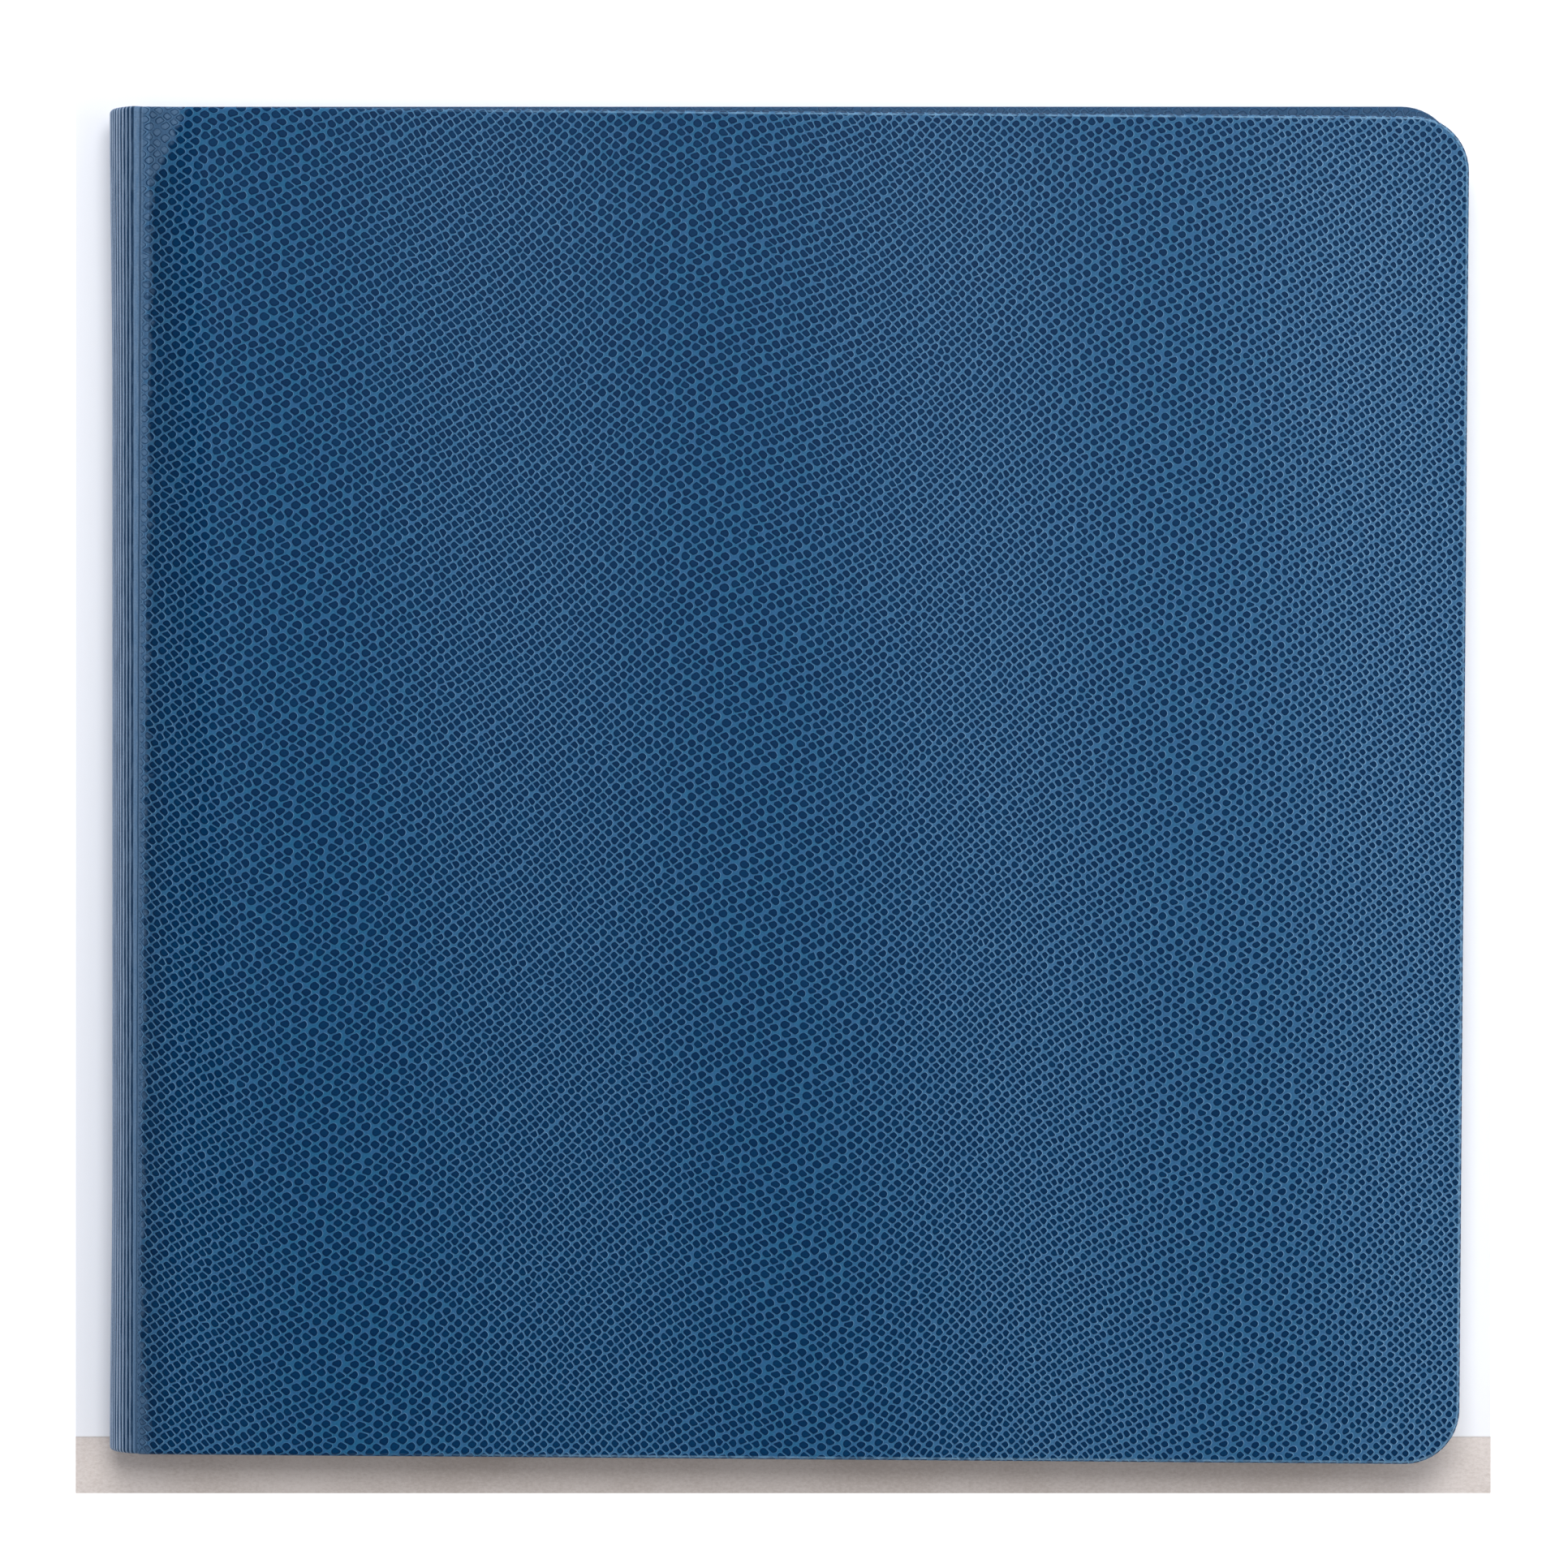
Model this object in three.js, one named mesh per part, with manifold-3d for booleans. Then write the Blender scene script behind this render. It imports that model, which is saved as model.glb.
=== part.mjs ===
// A strap-hinged scrapbook album for square sheets, closed and lying on its back cover.
// Millimetres. +X runs to the fore-edge, +Y to the head and +Z up to the front cover. The origin is
// the centre of the back cover's underside.

import * as THREE from 'three';
import { mergeVertices } from 'three/addons/utils/BufferGeometryUtils.js';
import Module from 'manifold-3d';

const wasm = await Module();
wasm.setup();

// ---- Driving dimensions -------------------------------------------------------------------------

const ALBUM_WIDTH = 320; // back of the spine to the fore-edge
const COVER_HEIGHT = 318; // head to tail
const CORNER_RADIUS = 13; // the covers' two fore-edge corners
const BOARD_THICKNESS = 1.85;
const WRAP_THICKNESS = 0.5; // leatherette
const TURN_IN_WIDTH = 12; // leatherette folded over onto the inside of a board
const TURN_IN_THICKNESS = 0.4;
const LINER_THICKNESS = 0.25;
const LINER_INSET = 3; // border of turned-in leatherette left showing round a liner
const LINER_HINGE_INSET = 2.2; // the same on the hinge side
const GLUE_GAP = 0.1; // between two glued layers
const LINER_GAP = 0.05; // under a liner, over the turn-ins

const LEAF_COUNT = 8;
const LEAF_PITCH = 1.65;
const LEAF_PLAY = 0.3; // spare room in the thickness of the closed book block
const SHEET_SIZE = 304.8; // 12 inch square paper
const SHEET_THICKNESS = 0.4;
const SHEET_CLEARANCE = 0.15; // each side of a sheet in its binding or sleeve
const BINDING_WIDTH = 11.5;
const BINDING_THICKNESS = 1.35;
const BINDING_BACK = 1.2; // solid back edge of a binding, behind its slot
const BINDING_INSET = 0.7; // the bindings' back edge, in from the wraps' hinge side
const SLEEVE_WALL = 0.15;
const SLEEVE_MARGIN = 1; // room in a sleeve beyond the sheet's free edges
const SLEEVE_GAP = 0.5; // between a sleeve's open side and the binding

const STAPLE_WIRE = 0.9;
const STAPLE_LOOP_WIDTH = 13.5; // inside, along the spine
const STAPLE_LOOP_DEPTH = 1.95; // inside, out from the binding's back edge
const STAPLE_FOOT = 1.9; // clinched foot, along the spine
const STAPLE_BEND = 0.6; // outside radius of the crown's two bends
const STAPLE_CLEARANCE = 0.3; // round the wire in the binding and the sheet
const STAPLE_SPACING = 180; // head staple to tail staple

const STRAP_WIDTH = 12;
const STRAP_THICKNESS = 0.4;
const STRAP_TAB = 33; // glued under a liner
const STRAP_BEND = 1; // inside radius

const SPINE_BULGE = 5.6; // how far the spine's arc stands out past its two edges
const SPINE_FOOT_GAP = 0.15; // the arc's ends stay this far inside the covers' outer faces
const SPINE_CORE = 0.8;
const SPINE_LINER = 0.3;
const RIB_COUNT = 21;
const RIB_HEIGHT = 0.2;
const HINGE_GAP = 2.8; // flexing leatherette between the spine and the back board's wrap
const STRIP_GAP = 0.4; // from the spine's edge to a flexing strip
const SEAM = 0.3; // from a flexing strip to the cover beside it

const SPINE_SHIFT = -1.9; // racking of the soft case towards the tail: the spine
const FRONT_SHIFT = -2.05; // and the front cover
const FRONT_SKEW = THREE.MathUtils.degToRad(-0.44); // the front cover's turn about its hinge edge

// ---- Sizes that follow --------------------------------------------------------------------------

const BOARD_BOTTOM = WRAP_THICKNESS + GLUE_GAP;
const TURN_IN_BOTTOM = BOARD_BOTTOM + BOARD_THICKNESS + GLUE_GAP;
const TURN_IN_TOP = TURN_IN_BOTTOM + TURN_IN_THICKNESS;
const LINER_BOTTOM = TURN_IN_TOP + LINER_GAP;
const COVER_THICKNESS = LINER_BOTTOM + LINER_THICKNESS;
const BLOCK_THICKNESS = LEAF_COUNT * LEAF_PITCH + LEAF_PLAY;
const ALBUM_THICKNESS = 2 * COVER_THICKNESS + BLOCK_THICKNESS;
const MID_Z = ALBUM_THICKNESS / 2;
const FORE_EDGE = ALBUM_WIDTH / 2;
const SPINE_BACK = -ALBUM_WIDTH / 2;
const SPINE_EDGE = SPINE_BACK + SPINE_BULGE; // where the spine's arc meets the flexing strips
const STRIP_START = SPINE_EDGE + STRIP_GAP;
const PANEL_EDGE = STRIP_START + HINGE_GAP; // hinge-side edge of the wraps
const BINDING_EDGE = PANEL_EDGE + BINDING_INSET;
const STAPLE_BACK = BINDING_EDGE - STAPLE_LOOP_DEPTH - STAPLE_WIRE;
const STRAP_X = BINDING_EDGE - STAPLE_LOOP_DEPTH / 2 - STRAP_THICKNESS / 2; // the upright run's middle
const SHEET_EDGE = BINDING_EDGE + BINDING_BACK;

const CUT_PAST = 1; // how far a cutting tool runs past the face it opens
const WELD = 1e-5; // corners closer than this are one corner
const LEAST_RADIUS = 0.5; // of an inset outline's corners
const RIB_STEPS = 4; // facets of one rib
const LAYER_STEPS = 16; // facets of a smooth spine layer

// ---- Solids -------------------------------------------------------------------------------------

/** Keeps only positions and merges shared corners, as a closed solid needs. */
function weld(geometry) {
  const bare = geometry.index ? geometry.toNonIndexed() : geometry;
  bare.deleteAttribute('normal');
  bare.deleteAttribute('uv');
  return mergeVertices(bare, WELD);
}

function toManifold(geometry) {
  const welded = weld(geometry);
  return new wasm.Manifold(
    new wasm.Mesh({
      numProp: 3,
      vertProperties: new Float32Array(welded.attributes.position.array),
      triVerts: new Uint32Array(welded.index.array),
    }),
  );
}

function toGeometry(manifold) {
  const mesh = manifold.getMesh();
  const geometry = new THREE.BufferGeometry();
  geometry.setAttribute('position', new THREE.BufferAttribute(new Float32Array(mesh.vertProperties), 3));
  geometry.setIndex(Array.from(mesh.triVerts));
  geometry.computeVertexNormals();
  return geometry;
}

/** Cuts every tool from the first solid. */
function cut(geometry, ...tools) {
  return toGeometry(tools.reduce((solid, tool) => solid.subtract(toManifold(tool)), toManifold(geometry)));
}

/** An axis-aligned block between two corners. */
function block(x0, x1, y0, y1, z0, z1) {
  const geometry = new THREE.BoxGeometry(x1 - x0, y1 - y0, z1 - z0);
  return geometry.translate((x0 + x1) / 2, (y0 + y1) / 2, (z0 + z1) / 2);
}

/** Extrudes an outline in the XY plane from z0 to z1. */
function slab(shape, z0, z1) {
  const options = { depth: z1 - z0, bevelEnabled: false, curveSegments: 8 };
  const geometry = new THREE.ExtrudeGeometry(shape, options);
  return geometry.translate(0, 0, z0);
}

/** Extrudes an outline drawn in X (right) and Z (up) along Y, from y0 to y1. */
function bar(shape, y0, y1, curveSegments = 8) {
  const geometry = new THREE.ExtrudeGeometry(shape, { depth: y1 - y0, bevelEnabled: false, curveSegments });
  return geometry.rotateX(Math.PI / 2).translate(0, y1, 0);
}

/** A cover's outline, drawn in by inset, with its hinge side at left and rounded fore-edge corners. */
function coverOutline(inset, left) {
  const right = FORE_EDGE - inset;
  const top = COVER_HEIGHT / 2 - inset;
  const radius = Math.max(CORNER_RADIUS - inset, LEAST_RADIUS);
  const shape = new THREE.Shape();
  shape.moveTo(left, -top);
  shape.lineTo(right - radius, -top);
  shape.absarc(right - radius, -top + radius, radius, -Math.PI / 2, 0, false);
  shape.lineTo(right, top - radius);
  shape.absarc(right - radius, top - radius, radius, 0, Math.PI / 2, false);
  shape.lineTo(left, top);
  shape.closePath();
  return shape;
}

/** Adds a named piece to a group. */
function add(group, name, geometry, material) {
  const mesh = new THREE.Mesh(geometry, material);
  mesh.name = name;
  group.add(mesh);
  return mesh;
}

// ---- Materials ----------------------------------------------------------------------------------

const leatherette = new THREE.MeshStandardMaterial({ color: 0x24527a, roughness: 0.45 });
const greyboard = new THREE.MeshStandardMaterial({ color: 0x8f8a80, roughness: 0.95 });
const linerPaper = new THREE.MeshStandardMaterial({ color: 0x1f4263, roughness: 0.85 });
const whiteCard = new THREE.MeshStandardMaterial({ color: 0xf6f4ee, roughness: 0.9 });
const bindingPlastic = new THREE.MeshStandardMaterial({ color: 0xf2f2f0, roughness: 0.45 });
const clearFilm = new THREE.MeshStandardMaterial({
  color: 0xffffff, roughness: 0.1, transparent: true, opacity: 0.3,
});
const wire = new THREE.MeshStandardMaterial({ color: 0xc9ccd0, roughness: 0.25, metalness: 1 });
const strapPlastic = new THREE.MeshStandardMaterial({ color: 0xf4f3ee, roughness: 0.5 });

// ---- Covers -------------------------------------------------------------------------------------

/** The leatherette round one board: outer skin, edges, and turn-ins on three sides. */
function wrapSolid() {
  const past = PANEL_EDGE - CUT_PAST;
  return cut(
    slab(coverOutline(0, PANEL_EDGE), 0, TURN_IN_TOP),
    slab(coverOutline(WRAP_THICKNESS, past), WRAP_THICKNESS, TURN_IN_BOTTOM),
    slab(coverOutline(TURN_IN_WIDTH, past), (WRAP_THICKNESS + TURN_IN_BOTTOM) / 2, TURN_IN_TOP + CUT_PAST),
  );
}

/** One cover in the back cover's place, outer face down at z = 0. */
function addCover(group, prefix) {
  const boardLeft = PANEL_EDGE + WRAP_THICKNESS + GLUE_GAP;
  const board = slab(
    coverOutline(WRAP_THICKNESS + GLUE_GAP, boardLeft), BOARD_BOTTOM, BOARD_BOTTOM + BOARD_THICKNESS,
  );
  const linerShape = coverOutline(LINER_INSET, PANEL_EDGE + LINER_HINGE_INSET);
  const liner = slab(linerShape, LINER_BOTTOM, LINER_BOTTOM + LINER_THICKNESS);
  add(group, `${prefix}_board`, board, greyboard);
  add(group, `${prefix}_wrap`, wrapSolid(), leatherette);
  add(group, `${prefix}_liner`, liner, linerPaper);
}

function backCover() {
  const group = new THREE.Group();
  addCover(group, 'back');
  const top = COVER_HEIGHT / 2;
  add(group, 'back_joint', block(STRIP_START, PANEL_EDGE - SEAM, -top, top, 0, WRAP_THICKNESS), leatherette);
  return group;
}

/** The front cover is the same cover turned over, racked towards the tail and skewed on its hinge. */
function frontCover() {
  const cover = new THREE.Group();
  addCover(cover, 'front');
  for (const mesh of cover.children) {
    mesh.geometry = turnedOver(mesh.geometry);
    mesh.position.x = -PANEL_EDGE;
  }
  cover.position.set(PANEL_EDGE, FRONT_SHIFT, 0);
  cover.rotation.z = FRONT_SKEW;
  return cover;
}

/** Mirrors a solid through the album's middle height, keeping its faces pointing out. */
function turnedOver(geometry) {
  const mirrored = geometry.clone().scale(1, 1, -1).translate(0, 0, ALBUM_THICKNESS);
  const source = mirrored.index ? mirrored.index.array : [...mirrored.attributes.position.array.keys()];
  const count = mirrored.index ? mirrored.index.count : mirrored.attributes.position.count;
  const flipped = [];
  for (let i = 0; i < count; i += 3) {
    flipped.push(source[i], source[i + 2], source[i + 1]);
  }
  mirrored.setIndex(flipped);
  return mirrored;
}

/** The flexing strip between the spine and the skewed front cover: wider at the head than the tail. */
function frontJoint() {
  const top = COVER_HEIGHT / 2;
  const edgeAt = (y) => PANEL_EDGE - (y - FRONT_SHIFT) * Math.tan(FRONT_SKEW) - SEAM;
  const head = top + SPINE_SHIFT;
  const tail = -top + SPINE_SHIFT;
  const shape = new THREE.Shape([
    new THREE.Vector2(STRIP_START, tail),
    new THREE.Vector2(edgeAt(tail), tail),
    new THREE.Vector2(edgeAt(head), head),
    new THREE.Vector2(STRIP_START, head),
  ]);
  return slab(shape, ALBUM_THICKNESS - WRAP_THICKNESS, ALBUM_THICKNESS);
}

// ---- Spine --------------------------------------------------------------------------------------

const SPINE_HALF = MID_Z - SPINE_FOOT_GAP;
const SPINE_RADIUS = (SPINE_HALF ** 2 + SPINE_BULGE ** 2) / (2 * SPINE_BULGE);
const SPINE_CENTRE = SPINE_BACK + SPINE_RADIUS;
const SPINE_SWEEP = Math.asin(SPINE_HALF / SPINE_RADIUS); // half of the arc's angle

/** A point of the spine's section at an angle and distance from its centre. */
function spinePoint(angle, radius) {
  return new THREE.Vector2(SPINE_CENTRE + radius * Math.cos(angle), MID_Z + radius * Math.sin(angle));
}

/** A curved strip between two radii about the spine's centre, its outer face ribbed if ribs is set. */
function spineLayer(outer, inner, ribs) {
  const steps = ribs ? RIB_COUNT * RIB_STEPS : LAYER_STEPS;
  const points = [];
  for (let i = 0; i <= steps; i += 1) {
    const angle = Math.PI - SPINE_SWEEP + (2 * SPINE_SWEEP * i) / steps;
    const groove = ribs ? (RIB_HEIGHT / 2) * (1 + Math.cos((2 * Math.PI * RIB_COUNT * i) / steps)) : 0;
    const radius = outer - groove;
    points.push(spinePoint(angle, radius));
  }
  for (let i = LAYER_STEPS; i >= 0; i -= 1) {
    const angle = Math.PI - SPINE_SWEEP + (2 * SPINE_SWEEP * i) / LAYER_STEPS;
    points.push(spinePoint(angle, inner));
  }
  const half = COVER_HEIGHT / 2;
  return bar(new THREE.Shape(points), -half, half);
}

function spine() {
  const group = new THREE.Group();
  const wrapInner = SPINE_RADIUS - WRAP_THICKNESS;
  const coreOuter = wrapInner - GLUE_GAP;
  const coreInner = coreOuter - SPINE_CORE;
  const linerOuter = coreInner - GLUE_GAP;
  add(group, 'spine_wrap', spineLayer(SPINE_RADIUS, wrapInner, true), leatherette);
  add(group, 'spine_core', spineLayer(coreOuter, coreInner, false), greyboard);
  add(group, 'spine_liner', spineLayer(linerOuter, linerOuter - SPINE_LINER, false), linerPaper);
  group.position.y = SPINE_SHIFT;
  return group;
}

// ---- Straps -------------------------------------------------------------------------------------

/** A strap: a tab under each liner, joined by an upright run through the staples' loops. */
function strapSolid() {
  const tabEnd = PANEL_EDGE + STRAP_TAB;
  const bottom = TURN_IN_BOTTOM;
  const outerLeft = STRAP_X - STRAP_THICKNESS / 2;
  const radius = STRAP_BEND + STRAP_THICKNESS;
  const outer = roundedBracket(outerLeft, tabEnd, bottom, ALBUM_THICKNESS - bottom, radius);
  const innerLeft = outerLeft + STRAP_THICKNESS;
  const low = bottom + STRAP_THICKNESS;
  const inner = roundedBracket(innerLeft, tabEnd + CUT_PAST, low, ALBUM_THICKNESS - low, STRAP_BEND);
  const half = STRAP_WIDTH / 2;
  return cut(bar(outer, -half, half), bar(inner, -half - CUT_PAST, half + CUT_PAST));
}

/** A rectangle in X and Z with its two left-hand corners rounded. */
function roundedBracket(left, right, low, high, radius) {
  const shape = new THREE.Shape();
  shape.moveTo(right, low);
  shape.lineTo(right, high);
  shape.lineTo(left + radius, high);
  shape.absarc(left + radius, high - radius, radius, Math.PI / 2, Math.PI, false);
  shape.lineTo(left, low + radius);
  shape.absarc(left + radius, low + radius, radius, Math.PI, Math.PI * 1.5, false);
  shape.closePath();
  return shape;
}

// ---- Leaves -------------------------------------------------------------------------------------

const STAPLE_LEG = STAPLE_LOOP_WIDTH / 2 + STAPLE_WIRE / 2; // from the staple's middle to a leg's centre
const FOOT_X = SHEET_EDGE + STAPLE_CLEARANCE + STAPLE_WIRE / 2;

/** A flat-wire staple about its own middle: crown out over the strap, legs in, feet clinched. */
function stapleSolid() {
  const out = STAPLE_WIRE / 2;
  const crown = STAPLE_BACK;
  const foot = FOOT_X + out;
  const tip = STAPLE_LEG - out - STAPLE_FOOT;
  const shape = new THREE.Shape();
  const wide = STAPLE_LEG + out;
  const narrow = STAPLE_LEG - out;
  shape.moveTo(crown + STAPLE_BEND, -wide);
  shape.lineTo(foot, -wide);
  shape.lineTo(foot, -tip);
  shape.lineTo(foot - STAPLE_WIRE, -tip);
  shape.lineTo(foot - STAPLE_WIRE, -narrow);
  shape.lineTo(crown + STAPLE_WIRE, -narrow);
  shape.lineTo(crown + STAPLE_WIRE, narrow);
  shape.lineTo(foot - STAPLE_WIRE, narrow);
  shape.lineTo(foot - STAPLE_WIRE, tip);
  shape.lineTo(foot, tip);
  shape.lineTo(foot, wide);
  shape.lineTo(crown + STAPLE_BEND, wide);
  shape.absarc(crown + STAPLE_BEND, wide - STAPLE_BEND, STAPLE_BEND, Math.PI / 2, Math.PI, false);
  shape.absarc(crown + STAPLE_BEND, STAPLE_BEND - wide, STAPLE_BEND, Math.PI, Math.PI * 1.5, false);
  return slab(shape, -STAPLE_WIRE / 2, STAPLE_WIRE / 2);
}

/** The notches one leaf needs for its two staples' legs and clinched feet. */
function stapleNotches() {
  const reach = STAPLE_WIRE / 2 + STAPLE_CLEARANCE;
  const notches = [];
  const deep = BINDING_THICKNESS;
  for (const staple of [-STAPLE_SPACING / 2, STAPLE_SPACING / 2]) {
    for (const side of [-1, 1]) {
      const leg = staple + side * STAPLE_LEG;
      const footEnd = leg - side * (reach + STAPLE_FOOT);
      const low = Math.min(leg + side * reach, footEnd);
      const high = Math.max(leg + side * reach, footEnd);
      notches.push(block(BINDING_EDGE - CUT_PAST, FOOT_X + reach, leg - reach, leg + reach, -deep, deep));
      notches.push(block(FOOT_X - reach, FOOT_X + reach, low, high, -deep, deep));
    }
  }
  return notches;
}

/** A folded binding strip, open towards the fore-edge where it grips the sheet. */
function bindingSolid(notches) {
  const half = SHEET_SIZE / 2;
  const right = BINDING_EDGE + BINDING_WIDTH;
  const slot = SHEET_THICKNESS / 2 + SHEET_CLEARANCE;
  return cut(
    block(BINDING_EDGE, right, -half, half, -BINDING_THICKNESS / 2, BINDING_THICKNESS / 2),
    block(SHEET_EDGE - SHEET_CLEARANCE, right + CUT_PAST, -half - CUT_PAST, half + CUT_PAST, -slot, slot),
    ...notches,
  );
}

/** A clear sleeve over the sheet, closed at head, tail and fore-edge and open beside the binding. */
function sleeveSolid() {
  const left = BINDING_EDGE + BINDING_WIDTH + SLEEVE_GAP;
  const right = SHEET_EDGE + SHEET_SIZE + SLEEVE_MARGIN;
  const half = SHEET_SIZE / 2 + SLEEVE_MARGIN;
  const room = SHEET_THICKNESS / 2 + SHEET_CLEARANCE;
  const outer = room + SLEEVE_WALL;
  return cut(
    block(left, right + SLEEVE_WALL, -half - SLEEVE_WALL, half + SLEEVE_WALL, -outer, outer),
    block(left - CUT_PAST, right, -half, half, -room, room),
  );
}

function leafSet() {
  const notches = stapleNotches();
  const half = SHEET_SIZE / 2;
  const flat = SHEET_THICKNESS / 2;
  return {
    sheet: cut(block(SHEET_EDGE, SHEET_EDGE + SHEET_SIZE, -half, half, -flat, flat), ...notches),
    binding: bindingSolid(notches),
    sleeve: sleeveSolid(),
    staple: stapleSolid(),
  };
}

function leaf(number, set) {
  const group = new THREE.Group();
  const name = `leaf_${number}`;
  add(group, `${name}_sheet`, set.sheet, whiteCard);
  add(group, `${name}_binding`, set.binding, bindingPlastic);
  add(group, `${name}_sleeve`, set.sleeve, clearFilm);
  add(group, `${name}_staple_head`, set.staple, wire).position.y = STAPLE_SPACING / 2;
  add(group, `${name}_staple_tail`, set.staple, wire).position.y = -STAPLE_SPACING / 2;
  group.position.z = COVER_THICKNESS + LEAF_PLAY / 2 + LEAF_PITCH * (number - 0.5);
  return group;
}

// ---- Album --------------------------------------------------------------------------------------

const album = new THREE.Group();
album.add(backCover(), spine(), frontCover());
add(album, 'front_joint', frontJoint(), leatherette);
const strap = strapSolid();
add(album, 'strap_head', strap, strapPlastic).position.y = STAPLE_SPACING / 2;
add(album, 'strap_tail', strap, strapPlastic).position.y = -STAPLE_SPACING / 2;
const leafPieces = leafSet();
for (let number = 1; number <= LEAF_COUNT; number += 1) {
  album.add(leaf(number, leafPieces));
}

export default album;
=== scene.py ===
"""Looks for a strap-hinged scrapbook album: embossed leatherette case, card leaves and white straps.

Everything is in metres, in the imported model's frame: +X runs to the fore-edge, +Y to the head and +Z up.
"""

import logging  # noqa: E402
import math  # noqa: E402
import random  # noqa: E402
from dataclasses import dataclass, field  # noqa: E402
from enum import Enum  # noqa: E402
from typing import Callable, Sequence  # noqa: E402

import bpy  # noqa: E402
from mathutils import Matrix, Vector  # noqa: E402


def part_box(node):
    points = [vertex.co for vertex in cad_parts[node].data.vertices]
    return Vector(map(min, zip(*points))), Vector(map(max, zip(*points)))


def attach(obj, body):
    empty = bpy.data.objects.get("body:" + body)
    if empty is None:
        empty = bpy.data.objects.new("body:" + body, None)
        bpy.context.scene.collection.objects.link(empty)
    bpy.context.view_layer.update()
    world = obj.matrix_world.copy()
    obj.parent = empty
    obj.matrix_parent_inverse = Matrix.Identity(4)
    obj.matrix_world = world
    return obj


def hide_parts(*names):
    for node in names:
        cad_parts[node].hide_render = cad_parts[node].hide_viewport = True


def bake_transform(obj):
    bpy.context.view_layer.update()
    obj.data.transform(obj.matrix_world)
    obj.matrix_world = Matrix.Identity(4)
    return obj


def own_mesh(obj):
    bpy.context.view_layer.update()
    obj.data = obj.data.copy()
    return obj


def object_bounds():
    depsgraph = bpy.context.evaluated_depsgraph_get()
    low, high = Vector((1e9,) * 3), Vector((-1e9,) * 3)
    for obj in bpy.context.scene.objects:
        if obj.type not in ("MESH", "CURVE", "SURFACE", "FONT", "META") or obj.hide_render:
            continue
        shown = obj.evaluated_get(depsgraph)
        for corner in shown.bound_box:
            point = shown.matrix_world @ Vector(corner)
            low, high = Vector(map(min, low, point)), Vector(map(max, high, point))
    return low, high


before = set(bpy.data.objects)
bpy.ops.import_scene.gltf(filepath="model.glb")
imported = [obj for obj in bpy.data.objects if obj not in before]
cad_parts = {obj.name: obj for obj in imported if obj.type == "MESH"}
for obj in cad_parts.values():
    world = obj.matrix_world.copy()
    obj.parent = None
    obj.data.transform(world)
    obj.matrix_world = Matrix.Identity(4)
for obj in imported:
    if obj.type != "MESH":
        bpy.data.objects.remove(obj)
CAD_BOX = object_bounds()

log = logging.getLogger("album")

MM = 0.001
SKIN_MAP = "Skin"

Point = tuple[float, float, float]
Flat = tuple[float, float]
Colour = tuple[float, float, float, float]
Socket = bpy.types.NodeSocket

FALLING: Flat = (1.0, 0.0)
WHITE: Colour = (1.0, 1.0, 1.0, 1.0)
BLACK: Colour = (0.0, 0.0, 0.0, 1.0)


# ---- Small helpers ------------------------------------------------------------------------------


def linear(red: int, green: int, blue: int) -> Colour:
    """Turns an 8-bit display colour into a linear one with full alpha.

    Args:
        red: Display red, 0 to 255.
        green: Display green, 0 to 255.
        blue: Display blue, 0 to 255.

    Returns:
        The linear colour.
    """
    shares = (value / 255 for value in (red, green, blue))
    return (*(c / 12.92 if c <= 0.04045 else ((c + 0.055) / 1.055) ** 2.4 for c in shares), 1.0)


def lerp(a: float, b: float, t: float) -> float:
    """Goes from a to b as t goes from 0 to 1."""
    return a + (b - a) * t


def smooth(t: float) -> float:
    """Eases t from 0 to 1 with flat ends."""
    t = min(max(t, 0.0), 1.0)
    return t * t * (3 - 2 * t)


def make_object(name: str, verts: Sequence[Point], faces: Sequence[Sequence[int]],
                material: bpy.types.Material, uvs: Sequence[Flat] | None = None,
                edges: Sequence[float] | None = None) -> bpy.types.Object:
    """Makes a smooth-shaded mesh object in the scene.

    Args:
        name: The piece's name.
        verts: Its points.
        faces: Its faces as point numbers.
        material: Its finish.
        uvs: One place per point in the skin map, in metres.
        edges: One distance in from the nearest folded edge per point.

    Returns:
        The new object.
    """
    mesh = bpy.data.meshes.new(name)
    mesh.from_pydata([tuple(v) for v in verts], [], [tuple(f) for f in faces])
    mesh.validate()
    mesh.update()
    if uvs is not None:
        layer = mesh.uv_layers.new(name=SKIN_MAP)
        for loop in mesh.loops:
            layer.data[loop.index].uv = uvs[loop.vertex_index]
    if edges is not None:
        mesh.attributes.new("edge_inset", "FLOAT", "POINT").data.foreach_set("value", edges)
    mesh.polygons.foreach_set("use_smooth", [True] * len(mesh.polygons))
    mesh.materials.append(material)
    obj = bpy.data.objects.new(name, mesh)
    bpy.context.scene.collection.objects.link(obj)
    return obj


def grid_faces(rows: int, columns: int, flip: bool = False, start: int = 0) -> list[tuple[int, ...]]:
    """Faces of a grid of points stored row after row.

    Args:
        rows: Number of rows.
        columns: Points in each row.
        flip: Turns the faces over.
        start: The first point's number.

    Returns:
        The faces.
    """
    faces = []
    for i in range(rows - 1):
        for j in range(columns - 1):
            a = start + i * columns + j
            face = (a, a + 1, a + columns + 1, a + columns)
            faces.append(face[::-1] if flip else face)
    return faces


def thicken(obj: bpy.types.Object, thickness: float, offset: float = -1.0) -> None:
    """Gives a sheet its thickness.

    Args:
        obj: The sheet.
        thickness: Its thickness.
        offset: -1 to grow away from the side its faces point to, 0 to grow both ways.
    """
    solid = obj.modifiers.new("Thickness", "SOLIDIFY")
    solid.thickness = thickness
    solid.offset = offset


# ---- Shader groups ------------------------------------------------------------------------------


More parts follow.
